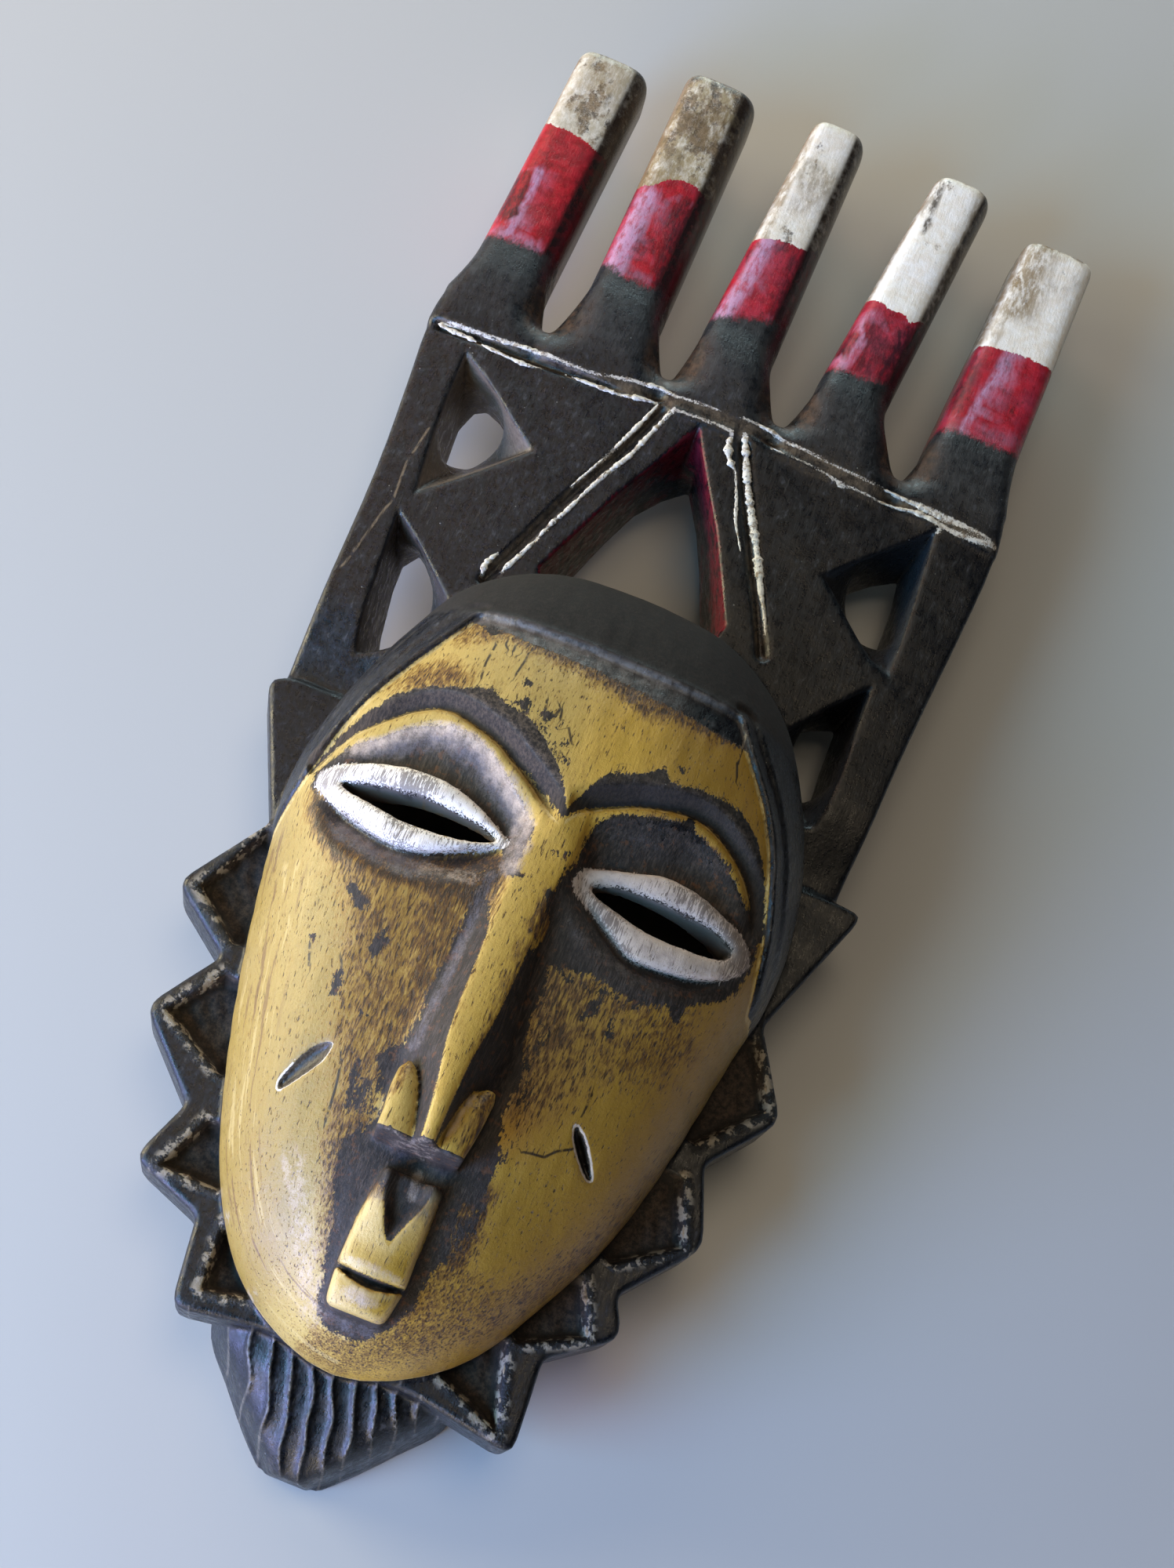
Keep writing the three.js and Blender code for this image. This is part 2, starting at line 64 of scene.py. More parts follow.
MM = 0.001
GRID_LOW = (-88.0, -4.0, -2.4)
GRID_HIGH = (86.5, 403.5, 91.0)
NARROW_BAND = 4
BLUR_ROUNDS = 4
LEFTMOST = -84.5
SHIFT = np.array([CAD_LOW.x / MM - LEFTMOST, CAD_LOW.y / MM, 0.0])

# Head
HEAD_CENTRE_Y = 125
HEAD_OUTLINE = [
    (0, 23.5), (25, 35), (40, 57), (50, 79), (59, 118), (64, 150), (61, 177), (52, 200), (42, 215), (24, 227),
    (0, 230), (-26, 227), (-44, 215), (-54, 196), (-62, 172), (-65, 150), (-60, 116), (-50, 77), (-40, 52),
    (-25, 33),
]
RIM_LEVEL = 33
SMALLEST_SLOPE = 0.004
CROWN_AT_CHIN = 38
CROWN_AT_BROW = 46
ROUNDNESS = 3.2
BACK_DRAFT = 3
WALL = 9

# Flange with its ears and teeth
FLANGE_BACK = 14
FLANGE_FRONT = 32
EAR_TOP = 178
RECESS_DEPTH = 4.2
TEETH = [
    {
        "ear": (-82, 175),
        "valleys": [(-66, 140), (-63, 104), (-56, 68), (-43, 45), (-20, 27)],
        "tips": [(-80.5, 117), (-74.5, 86), (-62, 52), (-40, 24)],
    },
    {
        "ear": (80.5, 177),
        "valleys": [(66, 140), (64, 102), (55, 65), (44, 45), (20, 26)],
        "tips": [(78, 119), (70.5, 83), (59.5, 56), (45, 22)],
    },
]

# Crest
CREST_BACK = 11
CREST_FRONT = 39.5
CREST_FALL = 4.5
CREST_HALF = 82
CREST_SINK = 6.5
OPENING_FRONT = CREST_FRONT - 2
GROOVE_HALF = 2.1
GROOVE_DEPTH = 2.4
CREST_LEFT = [(-78, 176), (-79, 210), (-80, 240), (-82.5, 268), (-84.3, 286), (-83.8, 294), (-81, 299)]
CREST_RIGHT = [(78.6, 299), (81, 294), (81.9, 286), (80, 262), (77.5, 238), (75, 210), (73, 176)]
PRONG_FOOT_Y = 288
PRONG_VALLEY_Y = 300
PRONG_ROOT_Y = 319
PRONG_DEPTH = 26
PRONG_BACK = 12
PRONG_END = 4
PRONG_PINCH = 2.6
PRONG_SQUARE = 5.5
PRONG_WORN = 3.2
# Left and right edge at the foot, the root and the tip, and the y of the end
PRONGS = [
    {"foot": (-84.2, -55.5), "root": (-81, -59), "tip": (-79, -57), "top": 393},
    {"foot": (-53.5, -20.5), "root": (-48.5, -26), "tip": (-48, -25.5), "top": 398.5},
    {"foot": (-18, 12.5), "root": (-15, 6.5), "tip": (-9, 8), "top": 399.5},
    {"foot": (15.5, 48.5), "root": (20, 40.5), "tip": (30, 48), "top": 399},
    {"foot": (51, 81.4), "root": (55, 79.5), "tip": (61, 82.5), "top": 392},
]
OPENINGS = [
    {
        "front": [(-6, 286), (9, 259), (20, 235), (18, 226), (-28, 226), (-30, 230), (-19, 258)],
        "back": [(-1.5, 282), (5, 270.5), (9.8, 259.5), (17, 240), (15, 227), (-24, 227), (-26, 231),
                 (-17.5, 257), (-13, 268.5), (-7.4, 276.2)],
    },
    {
        "front": [(-72, 283), (-44.5, 261), (-56, 248), (-69, 234)],
        "back": [(-62, 281), (-65, 279), (-66.8, 272), (-65.8, 259.4), (-60, 262.6), (-54.9, 267.8),
                 (-51.2, 272.6), (-53.4, 276), (-57.2, 279.2)],
    },
    {
        "front": [(-70, 231), (-48, 211), (-54, 196), (-66, 186)],
        "back": [(-62.2, 232), (-65, 227), (-64.4, 219), (-62, 205), (-60, 198), (-55, 203), (-52.6, 216),
                 (-52.8, 221), (-56.2, 226.2), (-59.4, 230)],
    },
    {
        "front": [(64, 287), (66, 240), (58, 243), (40, 260)],
        "back": [(61.8, 281.2), (62.8, 272), (62.8, 256.6), (58.3, 258.9), (52.8, 263.7), (48.3, 269.2),
                 (51, 272.9), (55, 276.8)],
    },
    {
        "front": [(62, 236), (62, 192), (56, 190), (45, 214)],
        "back": [(59.6, 231.4), (59.6, 218), (60, 208.4), (56.9, 207.2), (52.7, 214), (49.8, 219.6),
                 (48.2, 223.2), (49.8, 226.3), (54, 229.1)],
    },
]
GROOVES = [
    [(-80.5, 287.3), (-70, 287.3), (-56, 287.3), (-45, 287.5), (-35, 288), (-27, 289.3), (-20, 290.4),
     (-10, 290.8), (0, 291.2), (10, 291.5), (20, 291), (30, 290.2), (40, 289.8), (50, 289.6), (60, 290),
     (70, 289.8), (79.6, 289.5)],
    [(-15.6, 291), (-19.3, 280), (-22.8, 270), (-27.2, 260), (-31.3, 250), (-34.8, 240), (-38.4, 230),
     (-42, 221)],
    [(4.6, 291), (8, 284), (11, 276.5), (15, 268), (19, 259.4), (22.4, 252), (26.4, 244), (32, 231)],
]
LINE_RISE = 0.05
CHALK_SPREAD = 0.52
CRUST_SINK = 0.5
CRUST_INSET = 0.06
# Thick white paint at the grooves' edges: x, y and thickness
BEADS = [
    [(-50, 285.8, 0.5), (-55, 284.6, 0.9), (-62, 285, 0.7), (-68, 285.6, 0.8), (-73, 286.3, 0.9),
     (-78.6, 286.7, 0.8), (-80.8, 287.4, 0.8), (-78, 288.2, 0.7), (-70, 288.5, 0.8), (-63, 289, 0.9),
     (-56, 289.6, 0.9), (-52, 289.3, 0.8), (-46, 288.9, 0.6), (-38, 289.1, 0.5), (-30, 291, 0.8),
     (-24, 292.2, 0.9), (-19.5, 293, 0.9), (-14, 292.2, 0.6), (-8, 292.8, 0.7), (-1, 293.6, 0.7)],
    [(-45, 286, 0.4), (-36, 286.2, 0.8), (-29, 286.4, 0.9), (-24, 287.5, 0.9), (-19, 288.3, 0.9)],
    [(-14, 288, 0.8), (-8, 288.6, 0.7), (0, 288.9, 0.8), (3, 288.9, 0.5)],
    [(2, 293.6, 0.4), (9, 294, 0.8), (13, 293.8, 0.7), (18, 292.6, 0.6), (25, 292.2, 0.6), (33, 291.5, 0.5),
     (42, 291.2, 0.5), (49, 291.6, 0.5), (54, 291.4, 0.8), (60, 291.4, 1.5), (70, 291, 1.6), (77, 290.5, 1.6),
     (80.6, 289.6, 1.4), (76, 288.7, 1.2), (69, 288.2, 1.2), (63, 288.8, 1.3), (57, 289.2, 1.1),
     (52, 288, 0.6), (46, 287.4, 0.5), (38, 287.7, 0.5), (35, 286.6, 0.8), (33, 287.9, 0.5), (26, 288.8, 0.4),
     (14, 289.1, 0.4)],
    [(64.6, 288.4, 1.2), (64.4, 286.4, 0.8)],
    [(-18.4, 288, 0.7), (-20.6, 281, 0.8), (-23.4, 273.4, 0.7), (-26, 266.6, 0.5), (-31, 255, 0.4)],
    [(-14, 288.4, 0.9), (-16.8, 280, 0.9), (-18.4, 275, 1.0), (-20, 270, 1.1), (-22.8, 264.6, 1.1),
     (-24.8, 260, 1.0), (-27.2, 254, 0.7), (-29.8, 247, 0.9), (-31.6, 243, 0.9), (-34, 236, 0.7),
     (-36.4, 229.4, 0.9), (-38.6, 224.4, 0.8)],
    [(-41.6, 228.6, 0.8), (-43.2, 225, 1.1), (-43, 221.6, 0.9)],
    [(2.8, 288.2, 1.0), (3.4, 284, 1.4), (5, 280.6, 1.4), (7, 278.4, 1.0)],
    [(7.6, 278, 0.5), (10.6, 270.4, 0.5), (13, 263, 0.6), (14.4, 260.6, 0.4), (18, 254, 0.3)],
    [(6.2, 289.6, 1.2), (8.4, 284.4, 1.3), (11.4, 277, 1.5), (15, 269.6, 1.6), (18.4, 263, 1.5),
     (21.4, 257, 1.6), (24.2, 251, 1.5), (26, 247, 0.9), (28.6, 242, 0.6), (31, 236.4, 0.4)],
]

# Face
TEMPLES = [
    [(-68, 120), (-65.5, 128), (-62.5, 138), (-59.3, 150), (-57, 160), (-53, 170), (-48, 180), (-42, 190),
     (-38, 197)],
    [(31, 197), (35.6, 190), (43, 180), (48.4, 170), (52, 160), (55, 150), (57.8, 138), (60.8, 128),
     (64, 120)],
]
BROWS = [
    [(-59, 147), (-57.5, 150), (-55, 155.2), (-52.5, 158.8), (-50, 161), (-46, 164.6), (-42, 167.5),
     (-38, 169.3), (-35, 169.8), (-31, 169.2), (-26, 167.6), (-21, 165.8), (-17, 163.5), (-12, 160.4),
     (-8, 157.8), (-5, 155.3), (-3, 153.4), (-0.6, 151.8)],
    [(-0.4, 152), (1, 154.4), (3, 157.2), (7, 160.2), (10, 161.8), (15, 164.4), (20, 166), (25, 167.3),
     (29, 167.8), (33, 167.3), (37, 165.7), (42, 162.6), (46, 159.2), (49, 155), (51, 150)],
]
# Width of the dark band over each brow line, along x, and of the gold crescent under it
BROW_WIDTHS = [
    ([-59, -55, -52, -48, -44, -38, -33, -30.5, -27, -23.4, -20, -15.6, -12, -8, -4, -1.5, 0],
     [0.8, 2.4, 3.8, 5.2, 5.0, 5.0, 5.4, 7.2, 9.2, 7.6, 8.0, 8.6, 8.4, 7.2, 5.8, 4.4, 2.4]),
    ([0, 2, 4, 6, 8, 12, 15, 16.5, 18.4, 19.6, 23, 28, 34, 38, 41, 44, 47, 49, 52],
     [1.4, 3.2, 5.4, 7.4, 7.0, 6.4, 7.2, 9.2, 8.0, 5.4, 5.6, 5.8, 7.0, 7.8, 7.8, 7.0, 5.8, 4.6, 3.4]),
]
CRESCENTS = [
    ([-59, -56, -52, -48, -44, -40, -35, -30, -25, -20, -15, -10, -6],
     [0.8, 1.5, 2.8, 4.3, 4.3, 4.6, 4.4, 3.0, 2.6, 3.2, 3.8, 4.4, 5.0]),
    ([1, 3, 5, 9, 13, 17, 21, 25, 26.6, 27.2, 28.8, 29.4, 33, 36, 40, 44, 46, 48, 49],
     [0.8, 2.4, 3.0, 2.4, 2.3, 2.3, 2.5, 3.0, 2.4, 0, 0, 3.8, 3.8, 3.9, 3.6, 3.2, 2.6, 1.6, 0]),
]
BRIDGE = [
    (-6.4, 131), (-5.6, 136), (-3.8, 141), (-3.6, 146), (-5.2, 150), (-8.6, 154.4), (-12.4, 157.6),
    (-12, 161), (-5, 157), (-0.4, 152.4), (4, 157.6), (9, 160.6), (9.8, 158.2), (7.6, 155.2), (7, 150),
    (6.2, 144.6), (4.8, 139), (3.6, 134.6), (2.9, 131),
]
BASINS = [
    [(-58, 144), (-52, 135), (-42, 129), (-30, 127), (-18, 130), (-10, 137), (-5, 147), (-1, 155)],
    [(1, 155), (5, 147), (9, 137), (18, 129), (29, 125.5), (42, 128), (50, 135), (54, 145)],
]
LIDS = [
    [(-56.3, 142.6), (-56.6, 146.6), (-50.5, 149.8), (-41, 152), (-31, 152.6), (-22.7, 151), (-14.5, 147.4),
     (-9.2, 143.2), (-16.5, 139.2), (-25.5, 134.6), (-33, 133.1), (-43.5, 135.6), (-52, 139.6)],
    [(7.8, 139.6), (9, 145), (13, 147.2), (20.1, 149.2), (27, 151.3), (35, 151), (43, 149), (50.5, 146),
     (53.4, 141.8), (50.5, 136.8), (43, 132), (34, 129.7), (26, 129.1), (20, 132.2), (13.5, 136)],
]
SLITS = [
    [(-50.8, 144.2), (-46, 145.4), (-39, 146), (-31, 146.6), (-23, 146), (-15.5, 145), (-12.4, 143.8),
     (-14.5, 142), (-20, 140.2), (-28, 139.2), (-35, 139.3), (-42.5, 141), (-48.5, 142.6)],
    [(12.2, 141.6), (15, 143.4), (21, 144.6), (29, 144.9), (38, 144.7), (44.5, 143.9), (48.3, 142),
     (47, 139.4), (42, 137.6), (35, 136.7), (27, 136.7), (20, 138.3), (14.5, 140)],
]
# Rows of y, half width at the base and at the top, height of the crest, and its middle
NOSE = [
    (66, 5, 1.2, 86, -0.9), (71, 5.2, 1.4, 87, -0.9), (78, 6, 1.8, 88, -1.2), (84, 7.8, 2.3, 87.2, -1.5),
    (91, 10.5, 3.1, 86, -1.9), (100, 12.5, 4.1, 84.2, -1.6), (115, 12.6, 4.6, 81.8, -1.2),
    (132, 12, 4.8, 79.5, -1.1), (146, 9.5, 4.6, 77.3, 0.2), (154, 8, 4.4, 76, 0.2), (160, 6, 3, 74, 0),
]
NOSE_END = 69.6
NOSE_TOP_Y = 166
LID_FROM = 55
NOSE_FROM = 50
MOUTH_FROM = 40
WINGS = [
    [(-12.2, 66), (-12.2, 74), (-12.8, 80), (-12.6, 84.4), (-11, 87), (-9.3, 86), (-7.4, 82.6), (-5.6, 77),
     (-4.3, 72.2), (-3.9, 66)],
    [(1.1, 66), (1.4, 71.7), (2.2, 76), (3.2, 81.2), (4.7, 85.4), (7.2, 87.4), (9.2, 87.4), (9.8, 85),
     (9.4, 80), (8.8, 75), (8.1, 71), (7.7, 66)],
]
MOUTH_BOTTOM = 33.7
MOUTH = [(-7.8, 33.8), (6, 34), (7.5, 43), (7.1, 52), (7, 65), (-7, 65), (-8.5, 52), (-8.8, 43)]
SCARS = [
    {
        "floor": [(-28.6, 86.2), (-31.4, 85), (-33.6, 82.2), (-35.2, 78.6), (-36.4, 75), (-35.8, 73.4),
                  (-33.6, 75.4), (-31.2, 78.6), (-29.2, 81.6), (-28.4, 84.4)],
        "cut": 1.5,
    },
    {
        "floor": [(28.8, 89.8), (31.4, 88.6), (34, 85.8), (36.2, 82.8), (36.9, 81.2), (36, 81), (33.6, 82.6),
                  (31.2, 85), (29.4, 87.4)],
        "cut": 3,
    },
]
RECESSES = [
    [(-75.6, 117.8), (-66.2, 138.6), (-58, 136), (-58, 108), (-61.9, 107)],
    [(-70.4, 86.6), (-60.5, 101), (-52, 100), (-46, 77), (-52, 76.6)],
    [(-56.4, 52), (-50, 67), (-42, 68), (-34, 52), (-41, 51.6)],
    [(-35.6, 29.4), (-36.8, 45.5), (-30, 48), (-18, 34), (-24, 31.6)],
    [(74.6, 120.2), (66.5, 136.8), (58, 134), (56, 106), (60, 105)],
    [(66.4, 81), (60.4, 97.6), (52, 98), (44, 74), (51, 70.6)],
    [(52.3, 52.8), (46.6, 66.4), (40, 66), (30, 50), (37, 45.4)],
    [(40.4, 24.8), (35, 46), (27, 46), (16, 34), (23.4, 32)],
]
PRONG_VALLEYS = [-54.5, -19.3, 14, 49.8]
BEARD_BACK_Y = 36
BEARD_FULL = 26
STRAND_WIDTH = 5.2
# Rows of y, half width at the front and at the back, and height
BEARD = [
    (-3, 2, 4, 13), (0, 4.5, 7, 15), (6.5, 10.5, 14, 20), (15, 17.5, 22, 24), (24, 25, 30, 27),
    (34, 31, 33, 28),
]

# Stage
FLOOR_HALF = 2.5
FLOOR_LEVEL = -0.4 * MM
FLOOR_GREY = (193, 193, 193)
SENSOR = 36
LENS = 51.04
LAMP_SIZE = 0.7
LAMP_POWER = 10
LAMP_AWAY = 1.3
SURROUND = (0.62, 0.68, 0.8, 1)
SURROUND_STRENGTH = 0.04
# The camera's place in mm, and its axes to the right, down and ahead
VIEW_FROM = (-5.838906, -30.11146, 555.57281)
VIEW_AXES = [
    (0.92285341, 0.35164767, 0.15711621), (0.38485487, -0.85793115, -0.34035404),
    (0.01511019, 0.37456383, -0.927078),
]
# Name, direction to the right, up and towards the camera, and colour
LIGHTS = [
    ("window", (-0.87, 0.45, 0.21), (1.9, 1.66, 1.08)),
    ("sky_left", (-0.8, -0.35, 0.49), (0.86, 0.97, 2.34)),
    ("sky_above", (-0.68, -0.1, 0.72), (0.36, 0.86, 1.3)),
    ("far_wall", (0.17, 0.97, -0.16), (0.42, 0.55, 0.58)),
    ("near_wall", (-0.5, -0.66, 0.55), (0.74, 0.63, 0.44)),
    ("room_far", (-0.26, 0.93, 0.28), (0.3, 0.21, 0.15)),
    ("room", (0.2, 0.44, 0.87), (0.34, 0.28, 0.2)),
]


def smoothstep(value, low, high):
    t = np.clip((value - low) / (high - low), 0, 1)
    return t * t * (3 - 2 * t)


def near(value, low, high):
    """1 below low, falling to 0 at high."""
    return 1 - smoothstep(value, low, high)


def soft_max(a, b, blend):
    h = np.clip(0.5 + 0.5 * (a - b) / blend, 0, 1)
    return b + (a - b) * h + blend * h * (1 - h)


def soft_min(a, b, blend):
    return -soft_max(-a, -b, blend)


def bump(value, width):
    return np.exp(-((value / width) ** 2))


def smooth_line(points, per_span=8, closed=False):
    """Points along a centripetal curve through the given ones."""
    p = np.array(points, float)
    if closed:
        p = np.vstack([p[-1:], p, p[:2]])
    else:
        p = np.vstack([2 * p[:1] - p[1:2], p, 2 * p[-1:] - p[-2:-1]])
    made = []
    for a, b, c, d in zip(p, p[1:], p[2:], p[3:]):
        t1 = math.sqrt(np.linalg.norm(b - a))
        t2 = t1 + math.sqrt(np.linalg.norm(c - b))
        t3 = t2 + math.sqrt(np.linalg.norm(d - c))
        t = np.linspace(t1, t2, per_span, endpoint=False)[:, None]
        ab = ((t1 - t) * a + t * b) / t1
        bc = ((t2 - t) * b + (t - t1) * c) / (t2 - t1)
        cd = ((t3 - t) * c + (t - t2) * d) / (t3 - t2)
        abc = ((t2 - t) * ab + t * bc) / t2
        bcd = ((t3 - t) * bc + (t - t1) * cd) / (t3 - t1)
        made.append(((t2 - t) * abc + (t - t1) * bcd) / (t2 - t1))
    if not closed:
        made.append(p[-2:-1])
    return np.vstack(made)


def softened(corners, reaches, steps=4):
    """Rounds each corner with a short curve that starts and ends its reach away."""
    made = []
    for i, corner in enumerate(np.array(corners, float)):
        before = np.array(corners[i - 1], float) - corner
        after = np.array(corners[(i + 1) % len(corners)], float) - corner
        start = before * min(reaches[i] / np.linalg.norm(before), 0.45)
        end = after * min(reaches[i] / np.linalg.norm(after), 0.45)
        for t in np.linspace(0, 1, steps):
            made.append(corner + (1 - t) ** 2 * start + t**2 * end)
    return np.array(made)


def outline_distance(x, y, outline):
    """Distance to a closed outline, negative inside it."""
    nearest = np.full(np.shape(x), 1e9, np.float32)
    inside = np.zeros(np.shape(x), bool)
    for (ax, ay), (bx, by) in zip(outline, np.roll(outline, -1, 0)):
        ex, ey = bx - ax, by - ay
        t = np.clip(((x - ax) * ex + (y - ay) * ey) / (ex * ex + ey * ey + 1e-12), 0, 1)
        nearest = np.minimum(nearest, (x - ax - t * ex) ** 2 + (y - ay - t * ey) ** 2)
        if ay != by:
            inside ^= ((ay > y) != (by > y)) & (x < ex * (y - ay) / ey + ax)
    return np.where(inside, -1, 1) * np.sqrt(nearest)


def path_distance(x, y, path):
    """Distance to an open path, positive on its left-hand side, and how far along the path that is."""
    nearest = np.full(np.shape(x), 1e9, np.float32)
    side = np.ones(np.shape(x), np.float32)
    along = np.zeros(np.shape(x), np.float32)
    run = 0.0
    for (ax, ay), (bx, by) in zip(path, path[1:]):
        ex, ey = bx - ax, by - ay
        length = math.hypot(ex, ey)
        t = np.clip(((x - ax) * ex + (y - ay) * ey) / length**2, 0, 1)
        away = (x - ax - t * ex) ** 2 + (y - ay - t * ey) ** 2
        closer = away < nearest
        nearest = np.where(closer, away, nearest)
        side = np.where(closer, np.where(ex * (y - ay) - ey * (x - ax) < 0, -1, 1), side)
        along = np.where(closer, run + t * length, along)
        run += length
    return np.sqrt(nearest) * side, along / run


def columns_at(y, line):
    """Each further column of a line of rows (y, ...), at the places y."""
    return [np.interp(y, line[:, 0], column) for column in line.T[1:]]


def waviness(x, y, size, seed, stretch=1.0):
    """Gentle seeded waves between about -1 and 1, with crests about one size apart."""
    random = np.random.default_rng(seed)
    total = 0
    for turn, phase, pace in zip(*random.uniform(0, 1, (3, 7))):
        angle = turn * 2 * math.pi
        wave = 2 * math.pi / size * (0.7 + 0.6 * pace)
        place = x * math.cos(angle) + y / stretch * math.sin(angle)
        total = total + np.sin(place * wave + phase * 2 * math.pi)
    return total / 3.0


HEAD_LINE = smooth_line(HEAD_OUTLINE, 4, closed=True)
HEAD_TURNS = np.arctan2(HEAD_LINE[:, 1] - HEAD_CENTRE_Y, HEAD_LINE[:, 0])
HEAD_REACHES = np.hypot(HEAD_LINE[:, 0], HEAD_LINE[:, 1] - HEAD_CENTRE_Y)


def flange_outline():
    sides = []
    for teeth, sign in zip(TEETH, (-1, 1)):
        corners = [(sign * 30, EAR_TOP), (sign * 76, EAR_TOP), teeth["ear"], teeth["valleys"][0]]
        for tip, valley in zip(teeth["tips"], teeth["valleys"][1:]):
            corners += [tip, valley]
        sides.append(corners)
    corners = sides[0] + sides[1][::-1]
    points = {teeth["ear"] for teeth in TEETH} | {tip for teeth in TEETH for tip in teeth["tips"]}
    return softened(corners, [4 if corner in points else 2 for corner in corners])


def crest_front(x):
    return CREST_FRONT - CREST_FALL * (x / CREST_HALF) ** 2


def mouth_front(y):
    return 63.5 + 0.28 * (y - MOUTH_BOTTOM)


FLANGE_LINE = flange_outline()
CREST_LINE = np.vstack([smooth_line(CREST_LEFT, 3), smooth_line(CREST_RIGHT, 3)])
BROW_LINES = [smooth_line(line, 5) for line in BROWS]
BASIN_LINES = [smooth_line(line, 4) for line in BASINS]
GROOVE_LINES = [smooth_line(line, 5) for line in GROOVES]
TEMPLE_LINES = [smooth_line(line, 4) for line in TEMPLES]
LID_LINES = [smooth_line(lid, 3, closed=True) for lid in LIDS]
SLIT_LINES = [smooth_line(slit, 3, closed=True) for slit in SLITS]
SCAR_LINES = [smooth_line(scar["floor"], 4, closed=True) for scar in SCARS]
MOUTH_LINE = softened(MOUTH, [2.2, 2.2, 2, 2, 1.5, 1.5, 2, 2])
NOSE_LINE = smooth_line(NOSE, 6)
BEARD_LINE = smooth_line(BEARD, 5)


def head_maps(x, y):
    m = SimpleNamespace(x=x, y=y)
    turn = np.arctan2(y - HEAD_CENTRE_Y, x)
    m.reach = np.interp(turn, HEAD_TURNS, HEAD_REACHES, period=2 * math.pi).astype(np.float32)
    m.away = np.hypot(x, y - HEAD_CENTRE_Y)
    m.power = ROUNDNESS + 0.9 * bump(y - 142, 30)
    m.crown = CROWN_AT_CHIN + (CROWN_AT_BROW - CROWN_AT_CHIN) * smoothstep(y, 60, 180)
    m.temple = np.maximum(*[path_distance(x, y, line)[0] for line in TEMPLE_LINES])
    raised = np.maximum(smoothstep(y, 196.6, 199.4), smoothstep(m.temple, -0.7, 0.9))
    raised = np.where(y < 128, 0, raised * smoothstep(y, 128, 140))
    m.raised = raised
    m.share = m.away / (m.reach + 0.7 * raised)
    m.dome = RIM_LEVEL + m.crown * np.sqrt(np.clip(1 - m.share**m.power, 0, 1))
    return m


# How deep the wood is cut at a distance over the brow line, negative under it
BROW_DEPTH = np.array([
    (-60, 4.6), (-30, 5.0), (-22, 6.0), (-16, 6.9), (-12, 6.6), (-8, 5.3), (-5.4, 3.9), (-3.4, 2.8),
    (-1.8, 2.5), (-0.9, 3.1), (-0.2, 4.2), (0.5, 4.0), (3.7, 0.8), (4.4, 0.25), (5.4, 0.02), (9, 0), (60, 0),
])


def face_maps(x, y, lift):
    """Adds to the head's maps the height of the carved face, and the distances that its paint follows."""
    m = head_maps(x, y)
    left = x < 0
    brows = [path_distance(x, y, line)[0] for line in BROW_LINES]
    basins = [path_distance(x, y, line)[0] for line in BASIN_LINES]
    m.brow = np.where(left, *brows)
    m.basin = np.where(left, *basins)
    lids = [outline_distance(x, y, line) for line in LID_LINES]
    slits = [outline_distance(x, y, line) for line in SLIT_LINES]
    m.lid = np.minimum(*lids)
    m.slit = np.minimum(*slits)
    depth = np.interp(m.brow, BROW_DEPTH[:, 0], BROW_DEPTH[:, 1])
    outward = 1 - 0.62 * smoothstep(m.share, 0.72, 0.93)
    depth = depth * smoothstep(m.basin, -3, 7) * outward * lift.brow
    depth = depth + np.where(left, 0.15, 0.5) * bump(m.lid - 1.2, 1.2) * (y < 150)
    hair = 1.2 * m.raised + 0.45 * bump(y - 199, 1.6) * (m.share < 0.9) * (m.temple < 2)
    side = smoothstep(y, 128, 150)
    ridges = 0.5 * bump(m.temple - 1.2, 1.1) - 0.9 * bump(m.temple - 3.8, 1.0)
    ridges = side * (ridges + 0.35 * bump(m.temple - 6, 1.4))
    marks = 0.16 * waviness(x, y, 17, 3, 1.8) + 0.07 * waviness(x, y, 6, 4, 2.4)
    scars = [outline_distance(x, y, line) for line in SCAR_LINES]
    m.scar = np.minimum(*scars)
    cut = sum(made["cut"] * np.clip(-scar, 0, 1) for made, scar in zip(SCARS, scars))
    m.face = m.dome - depth + hair + ridges + marks - cut
    across = np.interp(np.abs(x), [8, 18, 28, 38, 46, 52, 57], [72.6, 73.9, 74.0, 72.6, 69.8, 66.4, 62.5])
    share = np.clip(m.slit / (m.slit - m.lid + 1e-6), 0, 1)
    m.lid_top = across - 0.05 * (y - 143) - 1.7 + lift.lid * (4 * share * (1 - share)) ** 0.4
    nose_maps(m)
    mouth_maps(m)
    dip = 1.2 * bump(x + 0.6, 4.5) * smoothstep(y, 58, 63) * near(y, 69, 74)
    m.face = m.face - dip
    return m


def nose_maps(m):
    x, y = m.x, m.y
    half_base, half_top, crest, middle = columns_at(y, NOSE_LINE)
    m.ridge = np.abs(x - middle) - half_top
    spread = half_base - half_top
    fall = m.ridge / spread
    m.nose_top = crest - 0.5 * np.minimum(np.abs(x - middle) / half_top, 1) ** 2
    m.nose_top = m.nose_top - np.where(fall > 0, 13.5 * np.clip(fall, 0, 3) ** 1.12, 0)
    m.nose_top = m.nose_top - (y > 140) * (1.6 * bump(m.brow, 1.3) + 7 * smoothstep(m.brow, 0.2, 3.4))
    m.nose_slope = 1 / np.hypot(1, np.where(fall > 0, 14 / spread, 0.3))
    m.wing = np.minimum(*[outline_distance(x, y, np.array(wing)) for wing in WINGS])
    m.wing_top = 82.4 - 0.11 * (y - 70) - 1.1 * np.clip(1 + m.wing / 3.4, 0, 1) ** 2
    m.wing_top = m.wing_top - 1.6 * smoothstep(y, 80, 86.5)


